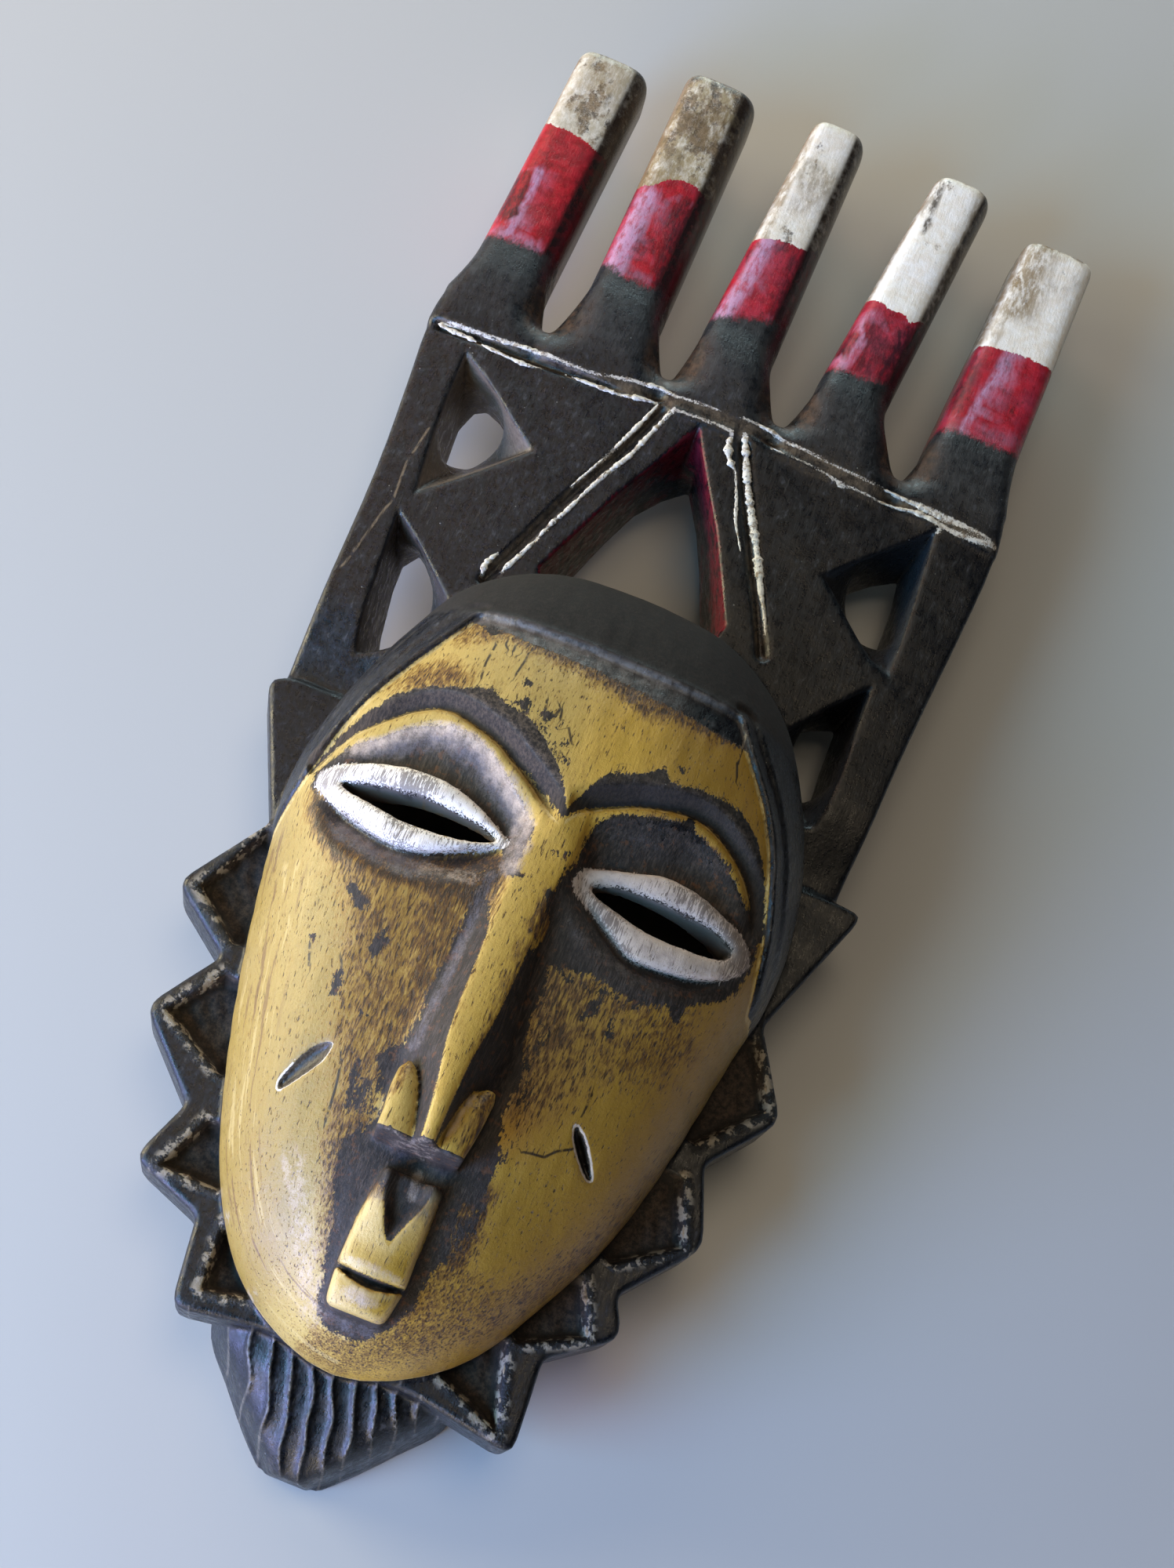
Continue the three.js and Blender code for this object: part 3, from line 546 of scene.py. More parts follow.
def mouth_maps(m):
    x, y = m.x, m.y
    m.mouth = outline_distance(x, y, MOUTH_LINE)
    m.lip = y - (40.95 + 0.022 * (x + 0.5) ** 2)
    m.lip_half = np.clip(1.15 - 0.0115 * (x + 0.5) ** 2, 0.25, 1.2)
    front = mouth_front(y) - 0.036 * (x + 0.9) ** 2
    front = front + 0.8 * bump(m.lip - 3.0, 2.6) + 0.7 * bump(m.lip + 3.6, 2.6)
    front = front - 3.4 * np.clip(1 - np.abs(m.lip) / m.lip_half, 0, 1) ** 0.7
    valley = np.interp(y, [49.2, 52, 55, 60, 66], [0, 1.4, 2.7, 4.7, 5.4])
    m.philtrum = np.abs(x + 0.5 * smoothstep(y, 49, 53)) - valley
    m.mouth_top = front - np.where(y > 48, np.clip(-m.philtrum, 0, 2.4) * 1.15 * smoothstep(y, 48, 56), 0)


def board_maps(x, y):
    """Maps of the flange, the crest with its openings, grooves and prongs, and the beard."""
    m = SimpleNamespace(x=x, y=y)
    m.flange = outline_distance(x, y, FLANGE_LINE)
    m.recess = np.full(np.shape(x), 1e3, np.float32)
    for outline in RECESSES:
        m.recess = np.minimum(m.recess, outline_distance(x, y, np.array(outline, float)))
    rough = 0.35 * waviness(x, y, 5, 11)
    m.flange_top = FLANGE_FRONT + 0.1 * waviness(x, y, 14, 12)
    m.flange_top = m.flange_top - (RECESS_DEPTH + rough) * smoothstep(-m.recess, 0.0, 2.4)
    m.board = outline_distance(x, y, CREST_LINE)
    m.open_front = [outline_distance(x, y, np.array(o["front"], float)) for o in OPENINGS]
    m.open_back = [outline_distance(x, y, np.array(o["back"], float)) for o in OPENINGS]
    grooves = [np.abs(path_distance(x, y, line)[0]) for line in GROOVE_LINES]
    m.groove = np.minimum(np.minimum(grooves[0], grooves[1]), grooves[2])
    top = crest_front(x) + 0.15 * waviness(x, y, 24, 21) + 0.05 * waviness(x, y, 7, 22)
    top = top - CREST_SINK * near(y, 176, 204)
    m.crest_top = top - GROOVE_DEPTH * np.clip(1 - m.groove / GROOVE_HALF, 0, 1) ** 0.8
    prong_maps(m)
    half, foot, front = columns_at(y, BEARD_LINE)
    outward = np.abs(x / np.maximum(half, 1))
    sway = 0.3 * (y - 27) + 0.4 * np.sin(y * 0.3 + 0.6 * np.sin(x * 0.5)) + 0.3 * np.sin(y * 0.62 + x * 0.3)
    turn = (x + sway) / STRAND_WIDTH
    strand = 1 - np.abs(np.sin(turn * math.pi))
    cells = 0.5 * np.sin(y / 6.5 * math.pi + 2.1 * np.floor(turn)) * (1 - strand)
    m.strand = strand
    m.beard_top = front - 4.5 * np.clip(outward, 0, 1.2) ** 6 - 1.2 + 1.5 * strand**3 + 0.35 * cells
    m.beard_half, m.beard_foot = half, foot
    return m


def prong_maps(m):
    """Adds the nearest prong's middle, half width, front, end and number, and the valleys between them."""
    x, y = m.x, m.y
    best = np.full(np.shape(x), 1e9, np.float32)
    nothing, nearest = np.zeros(np.shape(x), np.float32), {}
    spread = np.clip((PRONG_ROOT_Y - y) / (PRONG_ROOT_Y - PRONG_VALLEY_Y), 0, 1) ** 2
    for number, prong in enumerate(PRONGS):
        along = np.clip((y - PRONG_ROOT_Y) / (prong["top"] - PRONG_ROOT_Y), 0, 1)
        edges = []
        for side in (0, 1):
            straight = prong["root"][side] + (prong["tip"][side] - prong["root"][side]) * along
            edges.append(straight + (prong["foot"][side] - straight) * spread)
        middle = (edges[0] + edges[1]) / 2
        half = (edges[1] - edges[0]) / 2
        away = np.abs(x - middle) - half
        closer = away < best
        best = np.where(closer, away, best)
        front = crest_front(middle) + 0.6 * spread - 1.5 * along + 0.25 * waviness(y, middle, 22, 31 + number)
        front = front + 1.3 * bump(y - 307, 10) - 0.5 * smoothstep(y, PRONG_ROOT_Y - 5, PRONG_ROOT_Y + 3)
        this = {"x": middle, "half": half, "front": front, "top": prong["top"], "number": number}
        for key, value in this.items():
            nearest[key] = np.where(closer, value, nearest.get(key, nothing))
    for key, value in nearest.items():
        setattr(m, "prong_" + key, value)
    m.spread = spread
    valley = np.full(np.shape(x), 1e3, np.float32)
    for middle in PRONG_VALLEYS:
        rise = y - PRONG_VALLEY_Y - 2
        valley = np.minimum(valley, np.hypot((x - middle) * 0.95, np.where(rise > 0, 0.55 * rise, rise)))
    m.valley = valley
    m.scoop_top = np.where(m.valley < 15, crest_front(x) + 2.0 - 0.75 * (9.5 - m.valley), 1e3)


def head_field(m, z):
    rise = z - RIM_LEVEL - (m.face - m.dome)
    above = rise > 0
    draft = BACK_DRAFT * np.clip(RIM_LEVEL - z, 0, RIM_LEVEL) / RIM_LEVEL
    side = m.away - m.reach - 0.7 * m.raised + draft
    power = m.share ** m.power
    outward = m.power * power / np.maximum(m.share, 0.05) / m.reach
    slope = np.hypot(outward, 2 * np.maximum(rise, 0) / m.crown**2)
    arch = (power + (np.maximum(rise, 0) / m.crown) ** 2 - 1) / np.maximum(slope, SMALLEST_SLOPE)
    return np.where(above, arch, side)


def hollow_field(m, z):
    reach = m.reach - WALL
    share = m.away / reach
    rise = np.maximum(z - RIM_LEVEL, 0)
    crown = m.crown - WALL
    draft = BACK_DRAFT * np.clip(RIM_LEVEL - z, -1, RIM_LEVEL) / RIM_LEVEL
    slope = np.hypot(ROUNDNESS * share ** (ROUNDNESS - 1) / reach, 2 * rise / crown**2)
    arch = (share**ROUNDNESS + (rise / crown) ** 2 - 1) / np.maximum(slope, SMALLEST_SLOPE)
    return np.where(z > RIM_LEVEL, arch, m.away - reach + draft)


def openings_at(m, z):
    """Distance to each opening's wall at the height z, negative inside the opening."""
    t = np.clip((z - CREST_BACK) / (OPENING_FRONT - CREST_BACK), -0.2, 1.3)
    return [back + (front - back) * t for front, back in zip(m.open_front, m.open_back)]


def crest_field(m, z):
    solid = soft_max(m.board, soft_max(z - m.crest_top, CREST_BACK - z, 1.0), 1.6)
    for opening in openings_at(m, z):
        solid = soft_max(solid, -opening, 1.3)
    return solid


def prong_field(m, z):
    back = np.maximum(m.prong_front - PRONG_DEPTH, PRONG_BACK)
    end = np.clip(m.prong_top - m.y, 0, PRONG_END) / PRONG_END
    pinch = PRONG_PINCH * (1 - np.sqrt(np.clip(1 - (1 - end) ** 2, 0, 1)))
    half_x = np.maximum(m.prong_half - pinch, 0.5)
    half_z = np.maximum((m.prong_front - back) / 2 - pinch, 0.5)
    worn = (m.x > m.prong_x) & (m.prong_number < 4) & (z > (m.prong_front + back) / 2)
    power = np.where(worn, PRONG_WORN, PRONG_SQUARE) + 2.5 * m.spread
    across = np.abs(m.x - m.prong_x) / half_x
    through = np.abs(z - (m.prong_front + back) / 2) / half_z
    section = ((across**power + through**power) ** (1 / power) - 1) * np.minimum(half_x, half_z)
    return soft_max(soft_max(section, m.y - m.prong_top, 1.0), PRONG_FOOT_Y - m.y, 1.0)


def beard_field(m, z):
    t = np.clip(z / BEARD_FULL, 0, 1.2)
    half = m.beard_foot + (m.beard_half - m.beard_foot) * t
    side = (np.abs(m.x) - half) * 0.9
    ends = soft_max(-m.y, m.y - BEARD_BACK_Y, 1.0)
    return soft_max(soft_max(side, (z - m.beard_top) * 0.85, 1.4), ends, 2.0)


def solid_field(face, board, z, near_prongs):
    """Signed distance to the carved mask at height z over the mapped places, negative inside the wood."""
    solid = head_field(face, z)
    lid = soft_max(face.lid, (z - face.lid_top) * 0.9, 0.6)
    solid = soft_min(solid, np.maximum(lid, LID_FROM - z), 0.7)
    nose = soft_max((z - face.nose_top) * face.nose_slope, NOSE_END - face.y, 1.2)
    nose = np.maximum(nose, face.y - NOSE_TOP_Y)
    solid = soft_min(solid, np.maximum(nose, NOSE_FROM - z), np.where(face.y > 136, 1.6, 2.4))
    wing = soft_max(soft_max(face.wing, (z - face.wing_top) * 0.85, 0.8), NOSE_END - face.y, 0.6)
    solid = soft_min(solid, np.maximum(wing, NOSE_FROM - z), 0.5)
    mouth = soft_max(face.mouth, (z - face.mouth_top) * 0.92, 1.8)
    solid = soft_min(solid, np.maximum(mouth, MOUTH_FROM - z), 1.2)
    flange = soft_max(board.flange, soft_max(z - board.flange_top, FLANGE_BACK - z, 1.0), 1.8)
    solid = soft_min(solid, flange, 1.0)
    crest = crest_field(board, z)
    if near_prongs:
        crest = soft_min(crest, prong_field(board, z), 2.2)
        crest = soft_max(crest, (z - board.scoop_top) * 0.8, 3.0)
    solid = soft_min(solid, crest, 1.8)
    solid = soft_min(solid, beard_field(board, z), 1.2)
    solid = soft_max(solid, -hollow_field(face, z), 0.6)
    solid = soft_max(solid, -face.slit - np.clip((face.lid_top - z) * 0.15, 0, 1.1), 0.5)
    return np.maximum(solid, -z)


def relief_grid(step, lift):
    """The field on a grid, and the corner of the grid."""
    low = np.array(GRID_LOW)
    counts = np.ceil((GRID_HIGH - low) / step).astype(int) + 1
    xs, ys, zs = [low[i] + step * np.arange(counts[i]) for i in range(3)]
    x, y = [a.astype(np.float32) for a in np.meshgrid(xs, ys, indexing="ij")]
    field = np.empty(counts, np.float32)
    split = int(np.searchsorted(ys, PRONG_FOOT_Y - 3))
    for part in (slice(0, split), slice(split, None)):
        face, board = face_maps(x[:, part], y[:, part], lift), board_maps(x[:, part], y[:, part])
        for i, z in enumerate(zs):
            field[:, part, i] = solid_field(face, board, np.float32(z), part.start > 0)
    return field, low


def surface_net(field, low, step):
    """Points and quads of the surface where the field changes sign, one point for each crossed cell."""
    inside = field < 0
    total = np.zeros([n - 1 for n in field.shape], np.uint8)
    corners = [(i, j, k) for i in (0, 1) for j in (0, 1) for k in (0, 1)]
    for i, j, k in corners:
        total += inside[i:field.shape[0] - 1 + i, j:field.shape[1] - 1 + j, k:field.shape[2] - 1 + k]
    crossed = (total > 0) & (total < 8)
    cells = np.argwhere(crossed)
    number = np.full(crossed.shape, -1, np.int32)
    number[crossed] = np.arange(len(cells))
    sums, counts = np.zeros((len(cells), 3)), np.zeros(len(cells))
    for axis in range(3):
        unit = np.eye(3, dtype=int)[axis]
        for start in [c for c in corners if c[axis] == 0]:
            first = cells + start
            second = first + unit
            f0, f1 = field[tuple(first.T)], field[tuple(second.T)]
            hit = (f0 < 0) != (f1 < 0)
            t = f0[hit] / (f0[hit] - f1[hit])
            sums[hit] += np.array(start) + unit * t[:, None]
            counts[hit] += 1
    points = low + step * (cells + sums / counts[:, None])
    quads = []
    for axis in range(3):
        ahead = np.take(inside, range(1, field.shape[axis]), axis)
        behind = np.take(inside, range(field.shape[axis] - 1), axis)
        u, v = [a for a in range(3) if a != axis]
        if axis == 1:
            u, v = v, u
        edges = np.argwhere(ahead != behind)
        keep = np.all([(edges[:, a] > 0) & (edges[:, a] < field.shape[a] - 1) for a in (u, v)], axis=0)
        edges = edges[keep]
        falls = behind[tuple(edges.T)]
        eu, ev = np.eye(3, dtype=int)[u], np.eye(3, dtype=int)[v]
        ring = [number[tuple((edges - s).T)] for s in (0 * eu, eu, eu + ev, ev)]
        quad = np.stack(ring, 1)
        quad[~falls] = quad[~falls][:, ::-1]
        quads.append(quad)
    return points, np.vstack(quads)


def to_row(points):
    return (np.asarray(points, float) + SHIFT) * MM


def from_row(points):
    return np.asarray(points, float) / MM - SHIFT


def mesh_from(name, points, faces):
    mesh = bpy.data.meshes.new(name)
    sides = faces.shape[1]
    mesh.vertices.add(len(points))
    mesh.vertices.foreach_set("co", to_row(points).astype(np.float32).ravel())
    mesh.loops.add(faces.size)
    mesh.loops.foreach_set("vertex_index", faces.astype(np.int32).ravel())
    mesh.polygons.add(len(faces))
    mesh.polygons.foreach_set("loop_start", np.arange(0, faces.size, sides, dtype=np.int32))
    mesh.update(calc_edges=True)
    mesh.validate()
    return mesh


def plain_mesh(source, name):
    """The evaluated shape of an object as a mesh of its own."""
    shape = source.evaluated_get(bpy.context.evaluated_depsgraph_get())
    mesh = bpy.data.meshes.new_from_object(shape)
    mesh.name = name
    return mesh


def add_object(name, data):
    made = bpy.data.objects.new(name, data)
    bpy.context.scene.collection.objects.link(made)
    return made


def sample_field(field, low, step, points):
    """The field between its grid points."""
    place = (points - low) / step
    cell = np.clip(np.floor(place).astype(int), 0, np.array(field.shape) - 2)
    t = place - cell
    total = np.zeros(len(points))
    for i in (0, 1):
        for j in (0, 1):
            for k in (0, 1):
                weight = (t[:, 0] if i else 1 - t[:, 0]) * (t[:, 1] if j else 1 - t[:, 1])
                weight = weight * (t[:, 2] if k else 1 - t[:, 2])
                total += weight * field[cell[:, 0] + i, cell[:, 1] + j, cell[:, 2] + k]
    return total


def blurred(field, rounds):
    for _ in range(rounds):
        for axis in range(3):
            field = (np.roll(field, 1, axis) + np.roll(field, -1, axis) + 2 * field) / 4
    return field


# Closed outlines of the soot in and around the sockets, the nose and the mouth, with a painted shadow right
# of the mouth block
SOOT_AND_SHADOW = [
    [(-12.2, 137), (-12.4, 128), (-12.2, 120), (-12.8, 112), (-13.4, 104), (-13, 98), (-13.6, 92.4),
     (-16.4, 89.6), (-18, 86.4), (-16.4, 83.6), (-14.2, 80), (-13.4, 75), (-14, 71), (-16.4, 69.4),
     (-19.4, 66.4), (-18.4, 64.4), (-16.6, 59.6), (-14.6, 55), (-12.8, 50), (-11.5, 44), (-10.5, 39),
     (-9.6, 34.6), (-7.5, 31.5), (-4, 30), (2, 29.7), (4.6, 32), (7.2, 34.4), (9.4, 37.4), (10.8, 40),
     (11.2, 46), (11.8, 51), (14.2, 52.6), (16, 56.5), (16.6, 60), (16.6, 65.6), (15.4, 69), (16.2, 74),
     (15.8, 79), (13.2, 83), (12.8, 87), (13.4, 90.8), (14.4, 94.6), (12, 99), (11, 105), (10.6, 112),
     (10.3, 119.4), (13.6, 120.2), (20, 121.4), (27, 120.2), (31, 119.4), (34, 120.6), (37.4, 123),
     (39, 121.6), (42.4, 120.4), (42.6, 124.8), (46.7, 128.2), (50.6, 131), (53.2, 135.6), (54.6, 143),
     (53.4, 149), (50.6, 152), (48.6, 155), (46, 157), (40, 160.4), (36, 161.8), (31, 162.6), (27, 163),
     (20, 162), (13, 159.6), (9, 157.4), (6.4, 155.2), (5, 151), (4.4, 146), (3.6, 138), (3.4, 128),
     (3.4, 120), (0, 115), (-6, 120)],
    [(-58, 143), (-55.4, 141), (-50, 143), (-30, 144), (-12, 143), (-9, 139), (-7.6, 136), (-5.6, 140),
     (-5.4, 147), (-8, 152), (-12, 156), (-17, 159.4), (-22, 162), (-28, 164), (-34, 164.6), (-40, 162.6),
     (-46, 158.4), (-51, 156), (-55, 154), (-58, 150)],
]
# Broken places of the soot: middle, half sizes, and the distance that its ragged edge works from there
MOTTLES = [
    (20, 158.8, 9, 2.0, 0.35), (36, 160.4, 7, 1.8, 0.3), (-6, 167, 5.4, 5, -0.15), (-14, 177, 8, 5, -0.6),
    (-10, 172, 6, 5, -0.4), (30, 175, 9, 1.4, -0.3), (9, 170.8, 6, 1.8, -0.3), (42.6, 171, 2.6, 3, -0.4),
    (-16.6, 76, 4, 7, -0.15), (-17.4, 93, 3, 2.4, -0.3), (13.8, 106, 3.4, 10, -0.35), (16.4, 90, 3, 7, -0.3),
    (17, 79, 2.4, 6, -0.25), (23, 118.4, 13, 2.4, -0.4), (13, 62, 2.6, 4.6, 0.15), (9.5, 66.4, 3, 2.2, 0.3),
    (-12.6, 133.6, 5, 3.6, -0.2), (-3.4, 134.6, 3.4, 3, -0.5), (-34, 194, 6, 2.4, -0.3),
    (16, 192, 15, 2.6, -0.35), (-16, 191.6, 14, 1.0, -0.3), (-28, 174.6, 12, 2, -0.5), (5, 126, 1.6, 6, -0.6),
    (33, 116, 4, 3, -0.7), (-20, 60, 3, 8, -0.75), (13, 54.4, 2, 2, -0.2), (-41, 126.4, 8, 2, -0.6),
    (13.4, 60, 2.6, 7, -0.05),
]
# Dark blots: their middle line and half width
BLOTS = [
    ([(-38.4, 120.2), (-36.5, 118.6), (-34.2, 117)], 1.3),
    ([(-27, 112.6), (-27.8, 110.4), (-28, 108.4)], 1.5), ([(-33.2, 101.6), (-32.8, 99), (-32.8, 96.6)], 1.1),
    ([(-25.6, 94.2), (-23.4, 93.8)], 0.7), ([(-42.5, 107.4), (-42.4, 106.6)], 0.7),
    ([(-21.6, 84), (-21, 80), (-19.8, 74)], 0.8), ([(-18.6, 82), (-18.4, 76)], 0.7),
    ([(22, 114.6), (23.4, 116.6)], 1.2), ([(16.6, 111), (20, 111.6), (23, 112.6)], 0.7),
    ([(27.8, 114.4), (28, 111)], 0.9), ([(-20, 182.2), (-19.8, 181.4)], 1.1),
    ([(-18.8, 177.2), (-18.2, 174)], 1.1), ([(-12.8, 176), (-12.4, 172.8)], 0.8),
    ([(3.8, 145.2), (0.4, 143.8)], 0.7), ([(4.6, 134.2), (1.6, 133.4)], 1.0),
    ([(-6.6, 136.4), (-3, 135)], 0.8), ([(-33.6, 194.6), (-31, 192.4)], 1.1),
    ([(20.8, 176.8), (21.6, 176)], 0.7), ([(40, 124), (41, 121.4)], 1.3), ([(2.4, 118), (2.6, 110)], 0.5),
    ([(-53.4, 138.2), (-47.4, 134.8)], 1.2),
]
# Thin cracks and scratches
CRACKS = [
    [(-71.8, 256), (-73.2, 244), (-72.2, 233)], [(-72.8, 231), (-74.6, 221), (-77, 208)],
    [(30.2, 85), (27, 83), (24.8, 80.6), (20.4, 79.8)], [(29.6, 98), (29.4, 92.4)],
    [(-42.4, 106), (-40.6, 101)], [(-34.6, 105.4), (-33.4, 102.4)], [(-25.4, 84), (-24, 78), (-23, 69)],
    [(-30.7, 190), (-31.1, 184), (-30.6, 178.6)], [(-26.4, 193.6), (-26.2, 189.4)],
    [(-14.4, 180), (-13.6, 176.6)], [(-10.2, 179), (-9.5, 175.6)], [(-7.4, 175.2), (-5, 171)],
    [(33, 194), (33.6, 189)], [(32.8, 187.6), (34.6, 181.6)], [(-22.4, 190), (-23.4, 183)],
]
# Stains of the gold: closed outline, softness and strength
STAINS = [
    ([(-57, 142), (-55.5, 135), (-50, 128.5), (-44, 124.5), (-37, 123.5), (-28, 124), (-18, 124.5),
      (-11, 124), (-7, 130), (-7, 140), (-16, 139), (-24, 136), (-32, 135), (-44, 138)], 2.2, 1.1),
    ([(-46, 125), (-40, 118), (-36, 110), (-33, 100), (-30, 90), (-26, 80), (-22, 74), (-16, 74), (-12, 86),
      (-12, 95), (-11, 110), (-11, 124)], 5, 0.55),
    ([(-24, 124), (-20, 112), (-19, 100), (-20, 92), (-14, 90), (-12, 100), (-11, 112), (-11, 124)], 3, 0.78),
    ([(-24, 76), (-22, 66), (-18, 56), (-14, 48), (-12, 42), (-9, 42), (-10, 56), (-12, 66), (-14, 76)], 2.6,
     0.68),
    ([(-33, 193.4), (-20, 191.4), (-10, 190.4), (0, 189), (8, 186), (14, 188), (26, 187.6), (36, 191),
      (34, 199), (-33, 199)], 2.4, 0.85),
    ([(-50, 171), (-46, 180), (-38, 182), (-32, 178), (-36, 174)], 3, 0.6),
    ([(-46, 197), (-44, 190), (-37, 188), (-30, 192), (-30, 199)], 3, 0.5),
    ([(8, 124), (20, 124), (45, 127), (50, 118), (46, 108), (38, 104), (30, 100), (26, 92), (20, 84),
      (12, 84)], 5, 0.5),
    ([(8, 122), (22, 121), (24, 108), (20, 98), (18, 88), (13, 88), (10, 100), (8, 112)], 3.5, 0.66),
    ([(12, 68), (18, 66), (19, 54), (26, 52), (36, 62), (32, 44), (18, 32), (6, 27), (3, 31), (8, 40),
      (11, 52)], 4, 0.5),
    ([(62, 128), (57, 115), (52, 98), (46, 82), (38, 66), (28, 50), (34, 46), (48, 66), (58, 84), (62, 104)],
     4, 0.5),
    ([(-8, 31), (6, 31), (10, 27), (0, 23), (-10, 25)], 2, 0.4),
    ([(-12.6, 78), (-12, 87), (-10, 87), (-10.6, 78)], 1.2, 0.5),
    ([(5.6, 71), (6.2, 86), (10, 87), (9, 71)], 1.2, 0.55),
    ([(-9, 57), (7.4, 57), (7.4, 66), (-9, 66)], 1.6, 0.7),
    ([(0.4, 124), (0.8, 100), (0, 90), (4, 90), (4.8, 124)], 1.2, 0.3),
    ([(18, 163), (28, 165), (38, 162), (36, 158), (20, 158)], 1.4, 0.9),
    ([(9, 50), (9, 70), (18, 70), (18, 50)], 2, 0.9),
    ([(-9, 131), (-9, 100), (-7, 90), (-5.4, 96), (-6.4, 131)], 0.9, 0.5),
    ([(20, 152), (2, 134), (2, 124), (9, 124), (8, 140)], 2, 0.7),
]
# Pale bloom and painted highlights: path, half width, softness, strength, and tone from warm 0 to blue grey 1
BLOOMS_AND_HIGHLIGHTS = [
    ([(-15, 157), (-9.4, 151.4), (-6.8, 145), (-7, 137)], 1.0, 2.6, 0.75, 0.55),
    ([(-46, 133.6), (-37, 131), (-28, 129.6)], 1.4, 3.2, 0.62, 0.9),
    ([(-27, 131), (-20, 131.4), (-14, 132)], 0.6, 2.6, 0.35, 0.1),
    # Painted highlight down the left flank of the nose
    ([(-10.4, 134), (-10.4, 118), (-10.8, 100), (-11.4, 91)], 0.3, 1.8, 0.42, 1.0),
    # Painted light in the shade under the nose
    ([(0.4, 66), (0.8, 64), (1, 61)], 0.4, 1.4, 0.6, 0.5),
    # Painted highlight along the nose's lower edge
    ([(-11.4, 70.4), (-6, 69.8), (0, 69.7), (2, 69.9)], 0.2, 0.6, 0.22, 0.0),
    ([(-6, 33), (0, 32), (5, 33)], 0.4, 1.6, 0.4, 1.0),
    # Painted highlight on the left of the chin
    ([(-27, 60), (-20.4, 50.5), (-14, 40), (-9.4, 32)], 0.6, 3.8, 0.36, 0.1),
    # Painted highlights on the lower and the upper lip
    ([(-3.6, 37.6), (1, 37.4)], 0.8, 1.8, 0.8, 0.0), ([(-6, 44), (5, 43.8)], 0.2, 1.0, 0.6, 0.0),
    ([(3, 74), (3.9, 80), (5, 84)], 0.3, 1.0, 0.6, 0.0),
    ([(10, 130), (18, 126.6), (28, 125.4), (38, 127.6)], 0.6, 2.6, 0.2, 0.9),
    ([(9, 154), (14, 156.6), (22, 157)], 0.6, 2.4, 0.16, 0.9),
    ([(-14, 62), (-11.4, 50), (-10.4, 42)], 0.2, 1.6, 0.16, 0.9),
]
FRONT_FROM = 30
MARKS_FROM_Y = 312
WALLS_FROM_Y = 310
SHARP_EDGE = 0.7
LEFT_WALL_FROM = 0.8
WALL_BLEND = 0.17
# For each prong: dirt, painted sheen on the red, where the painted shade on its right wall starts as a share
# of its half width, and the heights from which it is painted white and red, along x
PRONG_DIRT = [0.6, 0.85, 0.2, 0.0, 0.06]
PRONG_RED_SHEEN = [0.1, 0.3, 0.45, 0.6, 0.55]
WALL_FROM = [0.44, 0.36, 0.42, 0.54, 0.9]
WHITE_EDGE_Y = [
    ([-80, -76, -72, -68, -63.5, -60], [363, 361.6, 362.2, 361.4, 360, 359.5]),
    ([-47, -44, -41, -38, -33, -26], [353, 354, 357.5, 359.5, 359.5, 357]),
    ([-12, -7, -4, 0, 3, 7], [351, 352, 353.6, 353, 353.6, 357.5]),
    ([21, 25, 29, 31, 33, 35.5, 37, 40], [349.5, 347.6, 347, 345.4, 347, 346.5, 344.6, 348]),
    ([57, 64, 70, 82], [349.8, 350.2, 351, 351.6]),
]
RED_FOOT_Y = [
    ([-81, -60], [319.5, 321]), ([-48, -40, -34, -26], [325, 322, 322, 324]),
    ([-14, -8, -3, 1, 6], [322, 323, 325.5, 327, 329]), ([19, 30, 38], [321, 321.5, 323.5]),
    ([56, 66, 72, 80], [318, 319.6, 318.6, 320]),
]
# Marks on the prongs, written as the bloom's strokes: on red the tone goes from a lavender painted sheen 0
# to black blots 1, on white from tan 0 to brown 1
RED_MARKS_AND_SHEEN = [
    ([(-74.8, 321), (-74.6, 345)], 0.5, 2.0, 0.75, 0), ([(-77.4, 329), (-78.4, 341)], 2.0, 2.4, 0.85, 1),
    ([(-78, 321), (-66, 321)], 0.6, 2.0, 0.5, 0), ([(-44.4, 323), (-43.8, 350)], 1.8, 2.4, 0.8, 0),
    ([(-34, 350), (-31, 338), (-30, 326)], 2.6, 3, 0.75, 1), ([(-41, 324), (-34, 324)], 0.6, 2, 0.5, 0.5),
    ([(-11.6, 322), (-9, 338), (-8, 352)], 1.0, 2.4, 0.8, 0), ([(1.5, 352), (2, 328)], 1.0, 3, 0.75, 1),
    ([(24, 324), (27, 341)], 1.2, 2.8, 0.55, 0), ([(30, 325), (31, 334), (28, 338)], 2.0, 3, 0.7, 1),
    ([(36.6, 325), (38.4, 341)], 2.0, 2.6, 0.85, 1), ([(23, 328), (24, 334)], 1.0, 2, 0.7, 1),
    ([(61.5, 320), (64, 335), (66.8, 350), (68.4, 362)], 0.5, 1.3, 0.9, 0),
    ([(58, 326), (58.4, 345)], 0.8, 2.4, 0.6, 1), ([(70, 322), (78, 323)], 0.6, 3, 0.4, 0.5),
]
